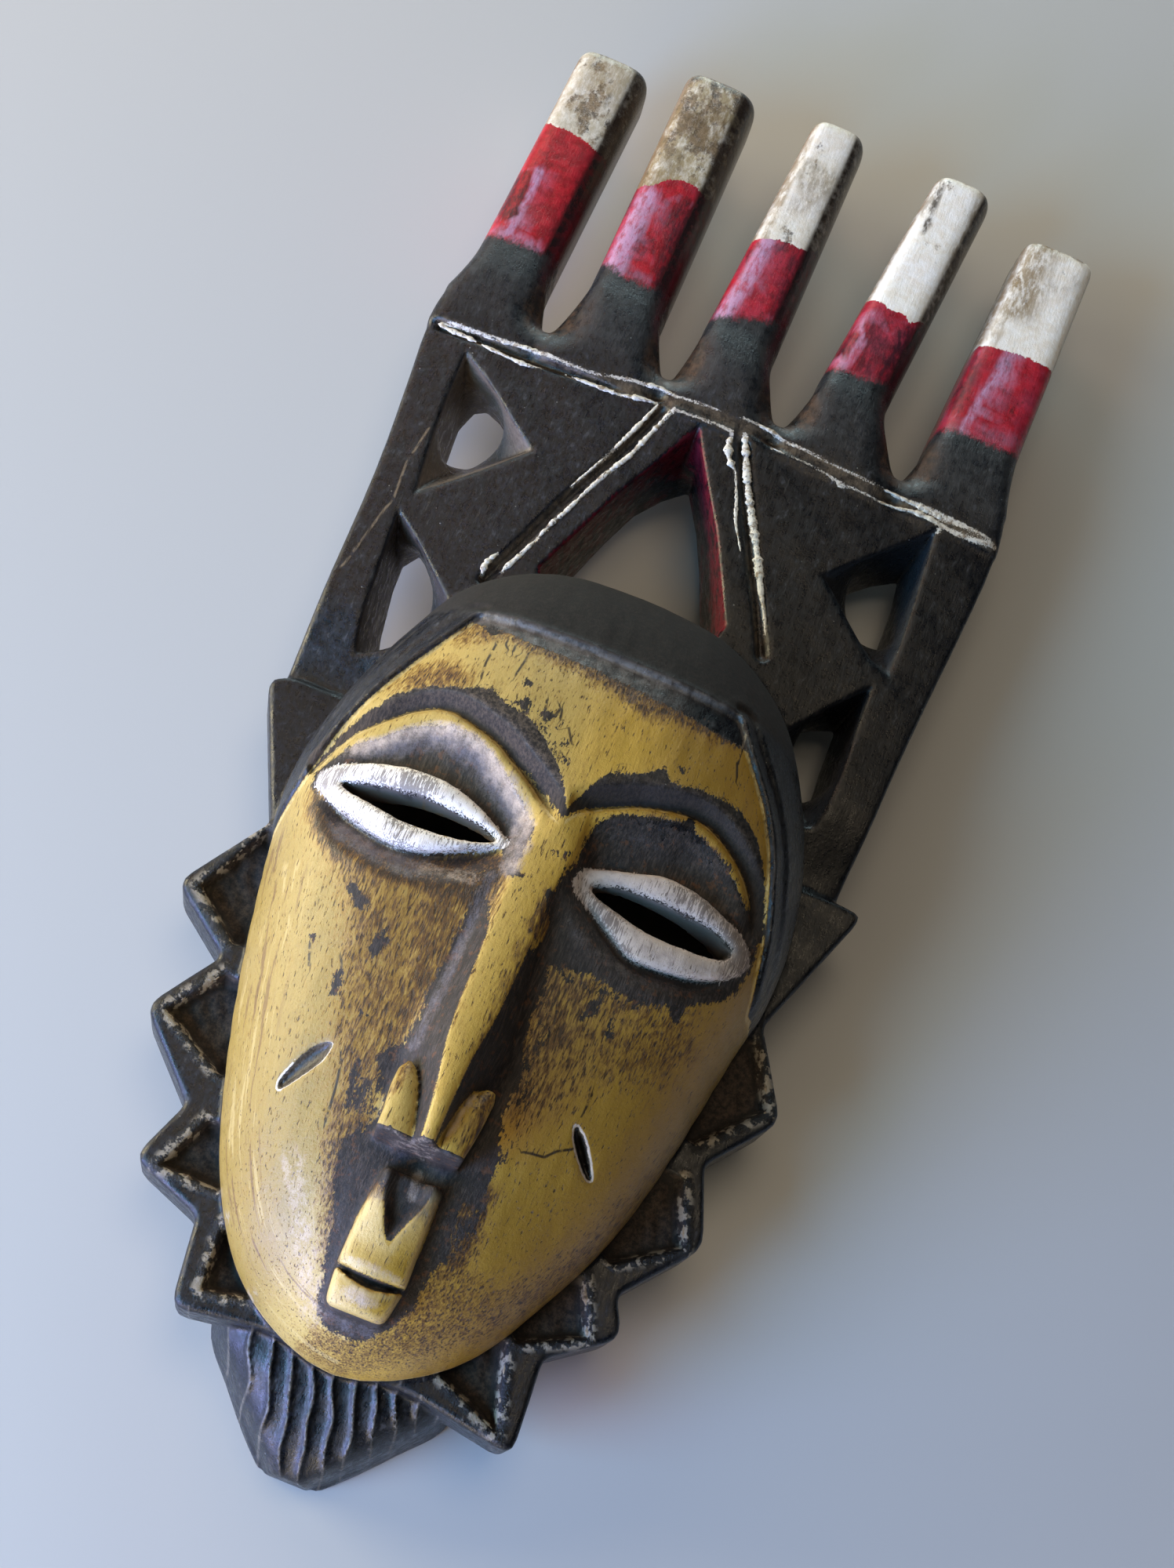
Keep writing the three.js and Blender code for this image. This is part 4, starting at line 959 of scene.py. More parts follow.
WHITE_MARKS = [
    ([(-70, 391), (-69, 378)], 4, 4, 0.5, 0.05), ([(-67.6, 379.6), (-65.8, 379)], 0.5, 0.8, 0.9, 1),
    ([(-77, 372), (-70, 368)], 1, 3, 0.4, 0.1), ([(-46.6, 352), (-46.8, 392)], 0.6, 1.2, 0.8, 0.2),
    ([(-42, 378), (-38, 380.6)], 3, 3, 0.75, 0.5), ([(-39.6, 362), (-38.6, 370)], 1.4, 1.0, 0.85, 0.6),
    ([(-44, 356), (-43, 366)], 2, 2, 0.6, 0.3), ([(-36, 374), (-34.4, 386)], 1.6, 2.6, 0.7, 0.4),
    ([(-9.6, 350), (-8.8, 398)], 0.8, 1.0, 0.75, 0.2), ([(-6, 379), (-2, 374), (1, 378)], 2.6, 3.6, 0.6, 0.3),
    ([(-4, 366), (2, 369)], 1, 3, 0.5, 0.1), ([(31.8, 376), (31.8, 394)], 0.7, 0.6, 0.95, 0.9),
    ([(30.2, 382), (30.4, 396)], 1, 1, 0.7, 0.5), ([(43.8, 380), (44.6, 396)], 0.8, 2, 0.7, 0.3),
    ([(42.6, 362), (42.4, 376)], 0.8, 1.4, 0.6, 0.3),
    ([(32.6, 358), (35, 356.6), (38, 354.8)], 0.15, 0.4, 0.7, 0.8),
    ([(64, 366), (64.6, 391)], 3.0, 3, 0.85, 0.1), ([(61, 352), (62, 372)], 1, 2, 0.6, 0.1),
    ([(73, 375), (78, 383)], 1.0, 1.5, 0.4, 0.3),
]


def strokes(x, y, table):
    """Strength of the strongest soft stroke, and that stroke's tone."""
    total, tone = np.zeros(np.shape(x)), np.zeros(np.shape(x))
    for points, radius, soft, strength, shade in table:
        made = strength * near(np.abs(path_distance(x, y, points)[0]), radius, radius + soft)
        tone = np.where(made > total, shade, tone)
        total = np.maximum(total, made)
    return total, tone


def face_paint(x, y, z, face):
    """Where the face's gold, soot, stains and whites lie, and its painted shade, shadow and highlights."""
    on_face = (z > face.face - 6) & (face.away < face.reach + 1) & (z > FRONT_FROM)
    hair_edge = np.interp(x, [-45, -35, -25, 0, 10, 35, 45], [196.5, 195, 193.6, 192.6, 191.5, 190.5, 189])
    edge = -face.temple - 0.3
    edge = np.where(y < 124, 6.0, np.where(y < 134, np.maximum(edge, (134 - y) * 0.6), edge))
    edge = np.minimum(edge, np.where(face.brow < 0, -face.brow - 0.2, 9))
    edge = np.minimum(edge, z - np.where(y > 128, 40, 33.2))
    width = np.where(x < 0, *[np.interp(x, *table) for table in BROW_WIDTHS])
    above_brow = face.brow - width
    gold = np.where(face.brow > 0, np.minimum(hair_edge - y, above_brow), 6.0)
    socket = np.minimum(-face.brow, face.basin - 1.0)
    width = np.where(x < 0, *[np.interp(x, *table) for table in CRESCENTS])
    crescent = face.brow + 0.3 + width
    gold = np.where(socket > 0, np.maximum(crescent, -socket), gold)
    ridge = np.where((y < 132) & (y > 69), 0.2 - face.ridge, -9)
    bridge = np.where(y < 132, ridge, -outline_distance(x, y, np.array(BRIDGE)))
    gold = np.maximum(gold, np.minimum(bridge, 3))
    gold = np.where((y < 142.8) & (x < -7.6) & (y > 120), np.maximum(gold, 3), gold)
    wing = -face.wing + 0.15
    lips = np.minimum(-face.mouth + 0.2, np.where(y > 48.5, face.philtrum, 9))
    lips = np.minimum(lips, np.abs(face.lip) - face.lip_half)
    lips = np.minimum(lips, (np.where(x > 2, 65, 60.5) - y) * 0.12)
    on_lips = (z > face.mouth_top - 3.0) & (z > 55)
    under = (y < NOSE_END + 0.8) & (y > 62) & (np.abs(x + 1.5) < 13) & (z > 64)
    carved = np.minimum(np.where(y < 132, -ridge, 9), np.where(z > face.wing_top - 2.4, -wing, 9))
    carved = np.minimum(carved, np.where(on_lips, -lips, 9))
    carved = np.where(under, 9, carved)
    soot_and_shadow = np.max([-outline_distance(x, y, np.array(outline, float)) for outline in SOOT_AND_SHADOW], axis=0)
    soot_and_shadow = np.minimum(soot_and_shadow, np.where(y > 132, -bridge, 9))
    soot_and_shadow = np.minimum(soot_and_shadow, np.where(face.brow < 0, -crescent, 9))
    for middle_x, middle_y, half_x, half_y, level in MOTTLES:
        share = near(np.hypot((x - middle_x) / half_x, (y - middle_y) / half_y), 0.6, 1.3)
        soot_and_shadow = soot_and_shadow + (level - soot_and_shadow) * share
    for path, half in BLOTS:
        soot_and_shadow = np.maximum(soot_and_shadow, 1.4 * (half - np.abs(path_distance(x, y, path)[0])))
    soot_and_shadow = np.where(under, 2.0, soot_and_shadow)
    stain = np.zeros(len(x))
    for outline, soft, strength in STAINS:
        away = outline_distance(x, y, np.array(outline, float))
        stain = np.maximum(stain, strength * near(away, -soft, soft))
    bloom_and_highlight, tone = strokes(x, y, BLOOMS_AND_HIGHLIGHTS)
    fallen = -face.brow - width
    pale = 0.9 * smoothstep(fallen, -1.2, 0.4) * near(fallen, 2.4, 8.5) * smoothstep(face.lid, 0.6, 4.2)
    pale = pale * ((socket > 0) & (x < -3) & (y > 145)) * smoothstep(x, -57, -49)
    tone = np.where(pale > bloom_and_highlight, smoothstep(fallen, 0.4, 4.6), tone)
    bloom_and_highlight = np.maximum(bloom_and_highlight, pale)
    rim = face.reach - face.away
    rings = smoothstep(rim, 0.5, 2) * near(rim, 8, 15) * np.where(x < 0, 1, 0.35 * (y > 128))
    rings = np.where((y > 124) & (face.temple < -0.6) & (rim > 4), 0, rings)
    scar_rim = np.where(x < -34.9, 0.45, np.where(x - 0.6214 * y > -82.6, 0.12, -0.2))
    scar_rim = np.where(x > 0, 0.5, scar_rim)
    # Painted highlight along the hairline's edge
    cap_edge = bump(y - 197.6 - 0.02 * np.abs(x + 5), 1.1) * (y > 190)
    cap_edge = cap_edge * smoothstep(x, -44, -36) * near(x, 22, 40)
    eave = smoothstep(face.brow, -0.4, 0.2) * near(face.brow, 3.6, 4.6) * (face.basin > -3)
    # The band is partly grey paint and partly a painted highlight where it faces up, fainter on the right as
    # painted shade
    band = smoothstep(face.brow, 3.4, 4.6) * near(above_brow, -0.5, 1.5) * (face.basin > -3)
    band = band * np.where(x < 0, 1, 0.4)
    strip = smoothstep(y, 189, 193) * near(y, 197.4, 198.6) * near(x, 4, 24) * (face.temple < 0)
    # Painted shade: the gold is darker on the left cheek and on the right side
    shade_on_gold = smoothstep(-x, 10, 26) * (1 - 0.2 * smoothstep(-x, 38, 52)) * near(y, 126, 150)
    return {
        "gold": np.where(on_face, gold, -8),
        "edge": np.where(on_face, edge, -8),
        "soot_and_shadow": np.where(on_face, soot_and_shadow, -9),
        "carved": np.where(on_face, carved, 9),
        "shade_on_gold": np.where(x < 0, shade_on_gold, smoothstep(x, 8, 22)),
        "eave": eave * on_face,
        "band": band * on_face,
        "cap": smoothstep(y, 198, 201) * on_face,
        # The right side, where colours carry painted shade
        "shaded_right_side": smoothstep(x, -12, 6),
        "strip": strip * on_face,
        "stain": np.where(on_face, stain, 0),
        "bloom_and_highlight": np.where(on_face, bloom_and_highlight, 0),
        "tone": tone,
        "rings": np.where(on_face, rings, 0),
        "rim": np.clip(rim, -4, 24),
        "scar_rim": np.where(on_face, scar_rim, 0),
        "lid": np.where(z > 52, np.minimum(-face.lid + 0.2, face.slit - 0.1), -5),
        # Painted light on the eye slits' walls
        "slit": np.where((face.slit < 0.6) & (z < face.lid_top - 0.5), 1.0, 0.0),
        "scar": np.where(on_face, face.scar, 9),
        "cap_edge": np.where(on_face, cap_edge, 0),
        "lips": np.where(on_lips, lips, -9),
    }


def prong_paint(x, y, z, board):
    """Where the prongs' red and white paint and their dirt lie, with painted sheen and painted shade on the
    right.
    """
    red_mark_and_sheen, red_tone = strokes(x, y, RED_MARKS_AND_SHEEN)
    white_mark, white_tone = strokes(x, y, WHITE_MARKS)
    prong = board.prong_number.astype(int)
    white_y, red_y = np.zeros(len(x)), np.zeros(len(x))
    for i in range(len(PRONGS)):
        white_y = np.where(prong == i, np.interp(x, *WHITE_EDGE_Y[i]), white_y)
        red_y = np.where(prong == i, np.interp(x, *RED_FOOT_Y[i]), red_y)
    depth = board.prong_front - z
    side = np.abs(x - board.prong_x) / board.prong_half
    right = x > board.prong_x
    wall_from = np.where(right, np.array(WALL_FROM)[prong], LEFT_WALL_FROM)
    sharp = wall_from <= SHARP_EDGE
    steep = smoothstep(depth, np.where(sharp, 0.1, 0.8), np.where(sharp, 0.7, 2.4))
    wall = smoothstep(side, wall_from, wall_from + WALL_BLEND) * steep * (y > WALLS_FROM_Y)
    dirt, red_sheen = np.array(PRONG_DIRT)[prong], np.array(PRONG_RED_SHEEN)[prong]
    return {
        "feet": smoothstep(y, 291, 300),
        "red_mark_and_sheen": red_mark_and_sheen * (y > MARKS_FROM_Y),
        "red_tone": red_tone,
        "white_mark": white_mark * (y > MARKS_FROM_Y),
        "white_tone": white_tone,
        "dirt": dirt,
        "red_sheen": red_sheen,
        "cream": np.where(y > WALLS_FROM_Y, y - white_y, -9),
        "red": np.where(y > PRONG_VALLEY_Y, y - red_y, -9),
        "right_wall_shade": wall * right,
        "wall_left": wall * ~right,
    }


def board_paint(x, y, z, board):
    """Where the crest's and the teeth's crust, cracks, chalk and coloured walls lie."""
    crust = np.full(len(x), 9.0)
    for outline in RECESSES:
        crust = np.minimum(crust, np.abs(path_distance(x, y, [outline[-1], outline[0], outline[1]])[0]))
    nearest, crack = np.full(len(x), 9.0), np.full(len(x), 9.0)
    for path in CRACKS:
        off = path_distance(x, y, path)[0]
        crack = np.where(np.abs(off) < nearest, off, crack)
        nearest = np.minimum(nearest, np.abs(off))
    chalk = np.full(len(x), -9.0)
    for line in BEADS:
        off, along = path_distance(x, y, [point[:2] for point in line])
        thick = np.interp(along, np.linspace(0, 1, len(line)), [point[2] for point in line])
        chalk = np.maximum(chalk, CHALK_SPREAD * thick - np.abs(off))
    below = smoothstep(board.crest_top - z, 0.3, 1.2)
    in_wall = [near(np.abs(opening), 0.8, 2.2) * below for opening in openings_at(board, z)]
    rust = near(board.valley, 6.5, 9.5) * smoothstep(board.crest_top - z, -1.5, 1.0) * (y > 280)
    crimson_edge = near(np.abs(board.open_front[0]), 0.6, 2.6)
    front = z > FRONT_FROM
    return {
        "crust": crust,
        "crack": crack,
        "crack_near": near(nearest, 1.2, 2.2) * front,
        "crimson": in_wall[0],
        "crimson_edge": crimson_edge * (z < board.crest_top - 0.4) * (z > 26),
        "taupe": in_wall[1] + 0.35 * in_wall[2] + 0.5 * in_wall[3] + 0.4 * in_wall[4],
        "rust": rust,
        "chalk": np.where(front, chalk, -9),
        "channel": smoothstep(2.0 - board.groove, 0, 0.8) * front * (y > 200),
        "recess": np.where((z > 22) & (z < 34), -board.recess, -5),
        "strand": np.where((y < BEARD_BACK_Y) & (z < 34), board.strand, 0),
    }


def paint_masks(points, convex, lift):
    """Where each paint, dirt, wear and painted light lies: in mm, positive inside the paint, or a share from
    0 to 1.
    """
    x, y, z = points.T
    face, board = face_maps(x, y, lift), board_maps(x, y)
    bare = (hollow_field(face, z) < 0.9) | (z < 0.4)
    masks = {**face_paint(x, y, z, face), **prong_paint(x, y, z, board), **board_paint(x, y, z, board)}
    return {**masks, "raw": np.where(bare, 1.0, 0.0), "convex": convex}


def paint_attributes(mesh, masks):
    for name, values in masks.items():
        made = mesh.attributes.new(name, "FLOAT", "POINT")
        made.data.foreach_set("value", np.asarray(values, np.float32))


def linear(red, green, blue):
    """A screen colour, 0 to 255, as the linear colour that a shader takes."""
    def one(value):
        value = value / 255
        return value / 12.92 if value <= 0.04045 else ((value + 0.055) / 1.055) ** 2.4
    return (one(red), one(green), one(blue), 1.0)


FLOAT, VECTOR, GEOMETRY = "NodeSocketFloat", "NodeSocketVector", "NodeSocketGeometry"


class Wire:
    """The output of a node. Sums, differences and products of wires are math nodes."""

    def __init__(self, sketch, socket):
        self.sketch = sketch
        self.socket = socket

    def __add__(self, other):
        return self.sketch.math("ADD", self, other)

    def __sub__(self, other):
        return self.sketch.math("SUBTRACT", self, other)

    def __rsub__(self, other):
        return self.sketch.math("SUBTRACT", other, self)

    def __mul__(self, other):
        return self.sketch.math("MULTIPLY", self, other)

    __radd__ = __add__
    __rmul__ = __mul__


class Sketch:
    """Adds nodes to a tree and wires them, so that a finish reads as a list of steps."""

    def __init__(self, tree):
        self.tree = tree
        self.column = 0

    def add(self, kind, feeds=None, **settings):
        made = self.tree.nodes.new(kind)
        made.location = (self.column * 180, -(self.column % 5) * 160)
        self.column += 1
        for name, value in settings.items():
            setattr(made, name, value)
        for key, value in (feeds or {}).items():
            self.feed(made.inputs[key], value)
        return made

    def feed(self, socket, value):
        if isinstance(value, Wire):
            self.tree.links.new(value.socket, socket)
        else:
            socket.default_value = value

    def out(self, kind, feeds=None, output=0, **settings):
        return Wire(self, self.add(kind, feeds, **settings).outputs[output])

    def math(self, operation, a, b=0.0, clamp=False):
        return self.out("ShaderNodeMath", {0: a, 1: b}, operation=operation, use_clamp=clamp)

    def vector(self, operation, a, b):
        return self.out("ShaderNodeVectorMath", {0: a, 1: b}, operation=operation)

    def stretched(self, place, *shares):
        return self.vector("MULTIPLY", place, shares)

    def in_mm(self, place):
        return self.stretched(place, 1 / MM, 1 / MM, 1 / MM)

    def mix(self, share, a, b):
        """Colour a where the share is 0, b where it is 1. Three plain numbers are a screen colour."""
        a, b = [linear(*colour) if isinstance(colour, tuple) else colour for colour in (a, b)]
        return self.out("ShaderNodeMix", {0: share, 6: a, 7: b}, 2, data_type="RGBA")

    def blend(self, share, a, b):
        return self.out("ShaderNodeMix", {0: share, 2: a, 3: b}, data_type="FLOAT")

    def spread(self, value, low, high, to_low=0.0, to_high=1.0):
        feeds = {0: value, 1: low, 2: high, 3: to_low, 4: to_high}
        return self.out("ShaderNodeMapRange", feeds, interpolation_type="SMOOTHSTEP")

    def tint(self, value, low, high, a, b):
        """Colour a where the value is below low, b where it is above high."""
        return self.mix(self.spread(value, low, high), a, b)

    def noise(self, place, scale, detail=2.0, roughness=0.5, distortion=0.0):
        feeds = {"Vector": place, "Scale": scale, "Detail": detail, "Roughness": roughness}
        return self.out("ShaderNodeTexNoise", {**feeds, "Distortion": distortion}, "Fac")

    def attribute(self, name):
        return self.out("ShaderNodeAttribute", None, "Fac", attribute_name=name)

    def use(self, group, **feeds):
        made = self.add("ShaderNodeGroup", node_tree=group)
        for key, value in feeds.items():
            self.feed(made.inputs[key.replace("_", " ").capitalize()], value)
        return Wire(self, made.outputs[0])

    def highest(self, first, *others):
        for other in others:
            first = self.math("MAXIMUM", first, other)
        return first

    def surface(self, colour, roughness, height, strength, distance):
        relief = self.out("ShaderNodeBump", {"Strength": strength, "Distance": distance, "Height": height})
        feeds = {"Base Color": colour, "Roughness": roughness, "Normal": relief}
        self.add("ShaderNodeOutputMaterial", {0: self.out("ShaderNodeBsdfPrincipled", feeds)})


def effect(kind, name, output, **inputs):
    """A new node group, its sketch and its inputs by name. A number is a default, a word a socket's type."""
    tree = bpy.data.node_groups.new(name, kind)
    for label, wanted in inputs.items():
        number = isinstance(wanted, float)
        socket = tree.interface.new_socket(label, in_out="INPUT", socket_type=FLOAT if number else wanted)
        if number:
            socket.default_value = wanted
    tree.interface.new_socket(output[0], in_out="OUTPUT", socket_type=output[1])
    sketch = Sketch(tree)
    given = {socket.name: Wire(sketch, socket) for socket in sketch.add("NodeGroupInput").outputs}
    return tree, sketch, given


def close_effect(sketch, value):
    sketch.feed(sketch.add("NodeGroupOutput").inputs[0], value)


def ragged_edge():
    """Mask of a paint whose edge wanders and frays: 1 where the distance is inside."""
    tree, s, given = effect("ShaderNodeTree", "Ragged edge", ("Mask", FLOAT), Place=VECTOR, Distance=0.0,
                            Wander=0.8, Fray=0.5, Feather=0.25)
    broad = s.noise(given["Place"], 0.28, 2.0) - 0.5
    fine = s.noise(s.stretched(given["Place"], 1.6, 0.7, 1.6), 1.1, 3.0, 0.65) - 0.5
    moved = given["Distance"] + broad * (given["Wander"] * 4.0)
    moved = moved + fine * (given["Fray"] * 4.0)
    low = given["Feather"] * -1.0
    close_effect(s, s.spread(moved, low, given["Feather"]))
    return tree


def grain_flecks():
    """Lengthwise flecks where paint has left the grain: 1 in a fleck."""
    tree, s, given = effect("ShaderNodeTree", "Grain flecks", ("Mask", FLOAT), Place=VECTOR, Across=1.2,
                            Along=0.14, Amount=0.3)
    scale = s.out("ShaderNodeCombineXYZ", {0: given["Across"], 1: given["Along"], 2: given["Across"]})
    fine = s.noise(s.vector("MULTIPLY", given["Place"], scale), 1.0, 3.0, 0.6, 0.3)
    patches = s.noise(given["Place"], 0.06, 2.0)
    level = 0.78 - given["Amount"] * s.spread(patches, 0.3, 0.7, 0.4, 1.1)
    close_effect(s, s.spread(fine, level, level + 0.07))
    return tree


def mottle():
    """Soft patches between 0 and 1."""
    tree, s, given = effect("ShaderNodeTree", "Mottle", ("Value", FLOAT), Place=VECTOR, Scale=0.1, Low=0.35,
                            High=0.65)
    close_effect(s, s.spread(s.noise(given["Place"], given["Scale"], 4.0, 0.6), given["Low"], given["High"]))
    return tree


def dust():
    """Tiny pale specks: 1 in a speck."""
    tree, s, given = effect("ShaderNodeTree", "Dust", ("Mask", FLOAT), Place=VECTOR, Scale=0.6, Amount=0.2)
    cell = s.add("ShaderNodeTexVoronoi", {"Vector": given["Place"], "Scale": given["Scale"]})
    distance, colour = Wire(s, cell.outputs["Distance"]), Wire(s, cell.outputs["Color"])
    random = [Wire(s, channel) for channel in s.add("ShaderNodeSeparateColor", {0: colour}).outputs]
    speck = s.math("LESS_THAN", distance, s.math("POWER", random[1], 3.0) * 0.16)
    close_effect(s, s.math("LESS_THAN", random[0], given["Amount"]) * speck)
    return tree


def shared_effects():
    return SimpleNamespace(ragged=ragged_edge(), flecks=grain_flecks(), mottle=mottle(), dust=dust())


def new_material(name):
    made = bpy.data.materials.new(name)
    made.use_nodes = True
    made.node_tree.nodes.clear()
    return made, Sketch(made.node_tree)


def painted_wood(effects):
    """The whole painted and worn surface of the carved mask, with its painted light and shade."""
    material, s = new_material("Painted wood")
    place = s.in_mm(s.out("ShaderNodeTexCoord", output="Object"))
    value = s.attribute

    def over(below, colour, mask):
        return s.mix(mask, below, colour)

    def frayed(name, reach):
        moved = value(name) + (fine - 0.5) * reach
        return s.spread(moved, -0.12, 0.12)

    def ragged(name, wander, fray, feather):
        return s.use(effects.ragged, place=place, distance=value(name), wander=wander, fray=fray,
                     feather=feather)

    def smudged(low, high, a=0.0, b=1.0):
        return s.spread(smudge, low, high, a, b)

    blotchy = s.use(effects.mottle, place=place, scale=0.09, low=0.3, high=0.7)
    streaks = s.noise(s.stretched(place, 1.0, 0.12, 1.0), 1.6, 4.0, 0.7)
    blots = s.noise(s.stretched(place, 1.0, 0.5, 1.0), 0.5, 5.0, 0.7)
    up = s.out("ShaderNodeSeparateXYZ", {0: place}, output=1)
    ring_place = s.out("ShaderNodeCombineXYZ", {0: value("rim"), 1: up * 0.05})
    ring_noise = s.noise(ring_place, 0.7, 4.0, 0.65)
    ring_lines = s.spread(ring_noise, 0.56, 0.62) * value("rings")
    smudge = s.noise(place, 0.35, 4.0, 0.6)
    fine = s.noise(place, 2.2, 3.0, 0.7)
    pitted = s.noise(place, 0.8, 5.0, 0.75)

    # Black ground with its scratches and dust, painted shade on the right and a painted sheen on the feet
    black = s.tint(pitted, 0.4, 0.7, (5, 7, 12), (32, 37, 49))
    black = s.mix(blotchy * 0.5, black, (16, 18, 25))
    # Painted shade: the black is darker on the right
    black = over(black, (9, 11, 14), value("shaded_right_side") * 0.65)
    black = over(black, (80, 80, 86), s.spread(blots, 0.58, 0.7, 0.0, 0.45))
    # Painted sheen: lighter grey on the prongs' feet
    black = over(black, (58, 60, 62), value("feet") * smudged(0.3, 0.7, 0.15, 0.6))
    scratched = s.spread(streaks, 0.64, 0.68)
    black = over(black, (92, 86, 80), scratched * 0.3)
    specks = s.use(effects.dust, place=place, scale=0.8, amount=0.16)
    black = over(black, (150, 150, 146), specks * 0.7)

    # Crest: rust between the prongs, the openings' walls, grooves and edges
    rust = s.tint(smudge, 0.35, 0.65, (30, 24, 20), (78, 58, 44))
    base = over(black, rust, value("rust") * smudged(0.25, 0.6, 0.4, 0.9))
    wall_grain = s.noise(s.stretched(place, 0.6, 0.6, 2.4), 0.8, 4.0, 0.7)
    wall = s.mix(wall_grain, (44, 38, 36), (142, 128, 116))
    # Painted shade: the openings' walls are darker and cooler on the right
    wall = over(wall, s.mix(wall_grain, (26, 28, 32), (98, 102, 112)), value("shaded_right_side"))
    base = over(base, wall, value("taupe") * 0.9)
    channel = s.mix(streaks, (24, 21, 19), (110, 96, 80))
    channel = over(channel, (36, 32, 30), smudged(0.42, 0.6))
    base = over(base, channel, value("channel"))
    chalk = frayed("chalk", 1.8)
    chalky = s.tint(pitted, 0.45, 0.65, (222, 214, 202), (128, 112, 94))
    base = over(base, chalky, chalk * 0.9)
    crimson_patch = s.spread(s.noise(place, 0.16, 3.0, 0.6), 0.48, 0.62)
    crimson_mask = value("crimson") * (crimson_patch * 0.6)
    edge_patch = value("crimson_edge") * smudged(0.38, 0.55, 0.1, 0.9)
    base = over(base, (112, 22, 40), s.highest(crimson_mask, edge_patch))
    strand_mask = s.spread(value("strand"), 0.72, 0.95) * smudged(0.3, 0.6, 0.3, 1.0)
    base = over(base, (104, 98, 90), strand_mask * 0.7)
    strip = s.tint(smudge, 0.35, 0.65, (54, 49, 46), (104, 98, 94))
    base = over(base, strip, value("strip") * 0.9)
    # Painted highlight along the hairline's edge
    cap_edge_highlight = value("cap_edge") * smudged(0.3, 0.6, 0.1, 0.6)
    base = over(base, (118, 114, 112), cap_edge_highlight)
    crack = s.spread(s.math("ABSOLUTE", value("crack")), 0.1, 0.5, 0.95, 0.0)
    crack = crack * value("crack_near") * smudged(0.35, 0.5)
    base = over(base, (124, 108, 88), crack * s.spread(streaks, 0.42, 0.5, 0.2, 0.9))
    base = over(base, (70, 65, 61), ring_lines * 0.5)
    eave = s.tint(streaks, 0.35, 0.65, (28, 22, 19), (74, 61, 51))
    # Painted shade: the brow's wall is darker on the right
    eave = over(eave, (20, 18, 18), value("shaded_right_side") * 0.6)
    base = over(base, eave, value("eave"))
    # Partly grey paint and partly a painted highlight where the band faces up
    band = s.tint(pitted, 0.4, 0.65, (26, 20, 16), (90, 77, 64))
    base = over(base, band, value("band"))
    base = over(base, s.tint(pitted, 0.4, 0.7, (14, 9, 6), (38, 28, 23)), value("cap") * 0.85)

    # Gold of the face, its stains, rings and lost flecks, with painted shade on the left cheek and the right
    # side
    gold_mask = ragged("gold", 0.5, 0.75, 0.15) * frayed("edge", 0.7)
    stain = value("stain")
    grain = s.noise(s.stretched(place, 2.1, 0.24, 2.1), 1.0, 3.0, 0.6, 0.2)
    sway = (grain - 0.5) * 2.2 + (blots - 0.5) * 1.4
    depth = sway * (stain * 0.75 + 0.55) + (stain + 0.08)
    # Painted shade: the gold is browner on the right and darker on the left cheek and the right side
    khaki = s.mix(value("shaded_right_side"), (186, 158, 88), (192, 154, 63))
    khaki = over(khaki, s.mix(value("shaded_right_side"), (150, 125, 64), (158, 124, 49)), value("shade_on_gold"))
    gold = s.tint(depth, 0.05, 0.5, khaki, (150, 116, 52))
    gold = s.tint(depth, 0.35, 0.85, gold, (98, 68, 36))
    gold = s.tint(depth, 0.8, 1.25, gold, (52, 40, 34))
    pale_lines = s.spread(ring_noise, 0.44, 0.38) * value("rings")
    gold = over(gold, (208, 184, 126), pale_lines * 0.35)
    gold = over(gold, (112, 82, 48), ring_lines * 0.75)
    lit_edge = s.spread(value("edge"), 0.1, 0.3) * s.spread(value("edge"), 0.6, 1.2, 0.6, 0.0)
    gold = over(gold, (216, 192, 132), lit_edge * smudged(0.35, 0.55))
    level = 0.625 - stain * 0.1
    nips = s.spread(grain, level, level + 0.045)
    gold = over(gold, (58, 42, 26), nips * 0.85)
    gold = over(gold, (40, 30, 24), crack)
    speck_noise = s.noise(s.stretched(place, 1.0, 0.6, 1.0), 0.9, 5.0, 0.72)
    dense = s.spread(value("gold"), 0.0, 2.6, 0.5, 0.1)
    level = 0.72 - dense * 0.33
    specked = s.spread(speck_noise, level, level + 0.035)
    base = over(base, gold, gold_mask)
    base = over(base, s.mix(smudge, (30, 24, 22), (60, 46, 36)), specked * (gold_mask * 0.9))

    # Soot with a painted shadow right of the mouth, and pale bloom with painted highlights
    soot_mask = ragged("soot_and_shadow", 0.6, 1.1, 0.25) * frayed("carved", 1.0)
    soot_and_shadow = s.tint(grain, 0.34, 0.66, (20, 17, 16), (68, 58, 53))
    soot_and_shadow = over(soot_and_shadow, (28, 23, 21), s.spread(blots, 0.4, 0.62, 0.0, 0.7))
    rusty = s.spread(s.noise(place, 0.5, 3.0, 0.6), 0.56, 0.68) * 0.6
    soot_and_shadow = over(soot_and_shadow, (98, 62, 36), rusty)
    base = over(base, soot_and_shadow, soot_mask)
    bloom_and_highlight = s.math("ADD", value("bloom_and_highlight"), s.spread(blots, 0.3, 0.7, -0.4, 0.25), clamp=True)
    bloom_and_highlight = s.math("ADD", bloom_and_highlight, s.spread(fine, 0.3, 0.7, -0.2, 0.12), clamp=True)
    bloom_and_highlight = bloom_and_highlight * s.spread(value("bloom_and_highlight"), 0, 0.3)
    tone = s.math("ADD", value("tone"), smudged(0.3, 0.7, -0.2, 0.2), clamp=True)
    base = over(base, s.mix(tone, (206, 184, 164), (112, 106, 112)), bloom_and_highlight * 0.92)

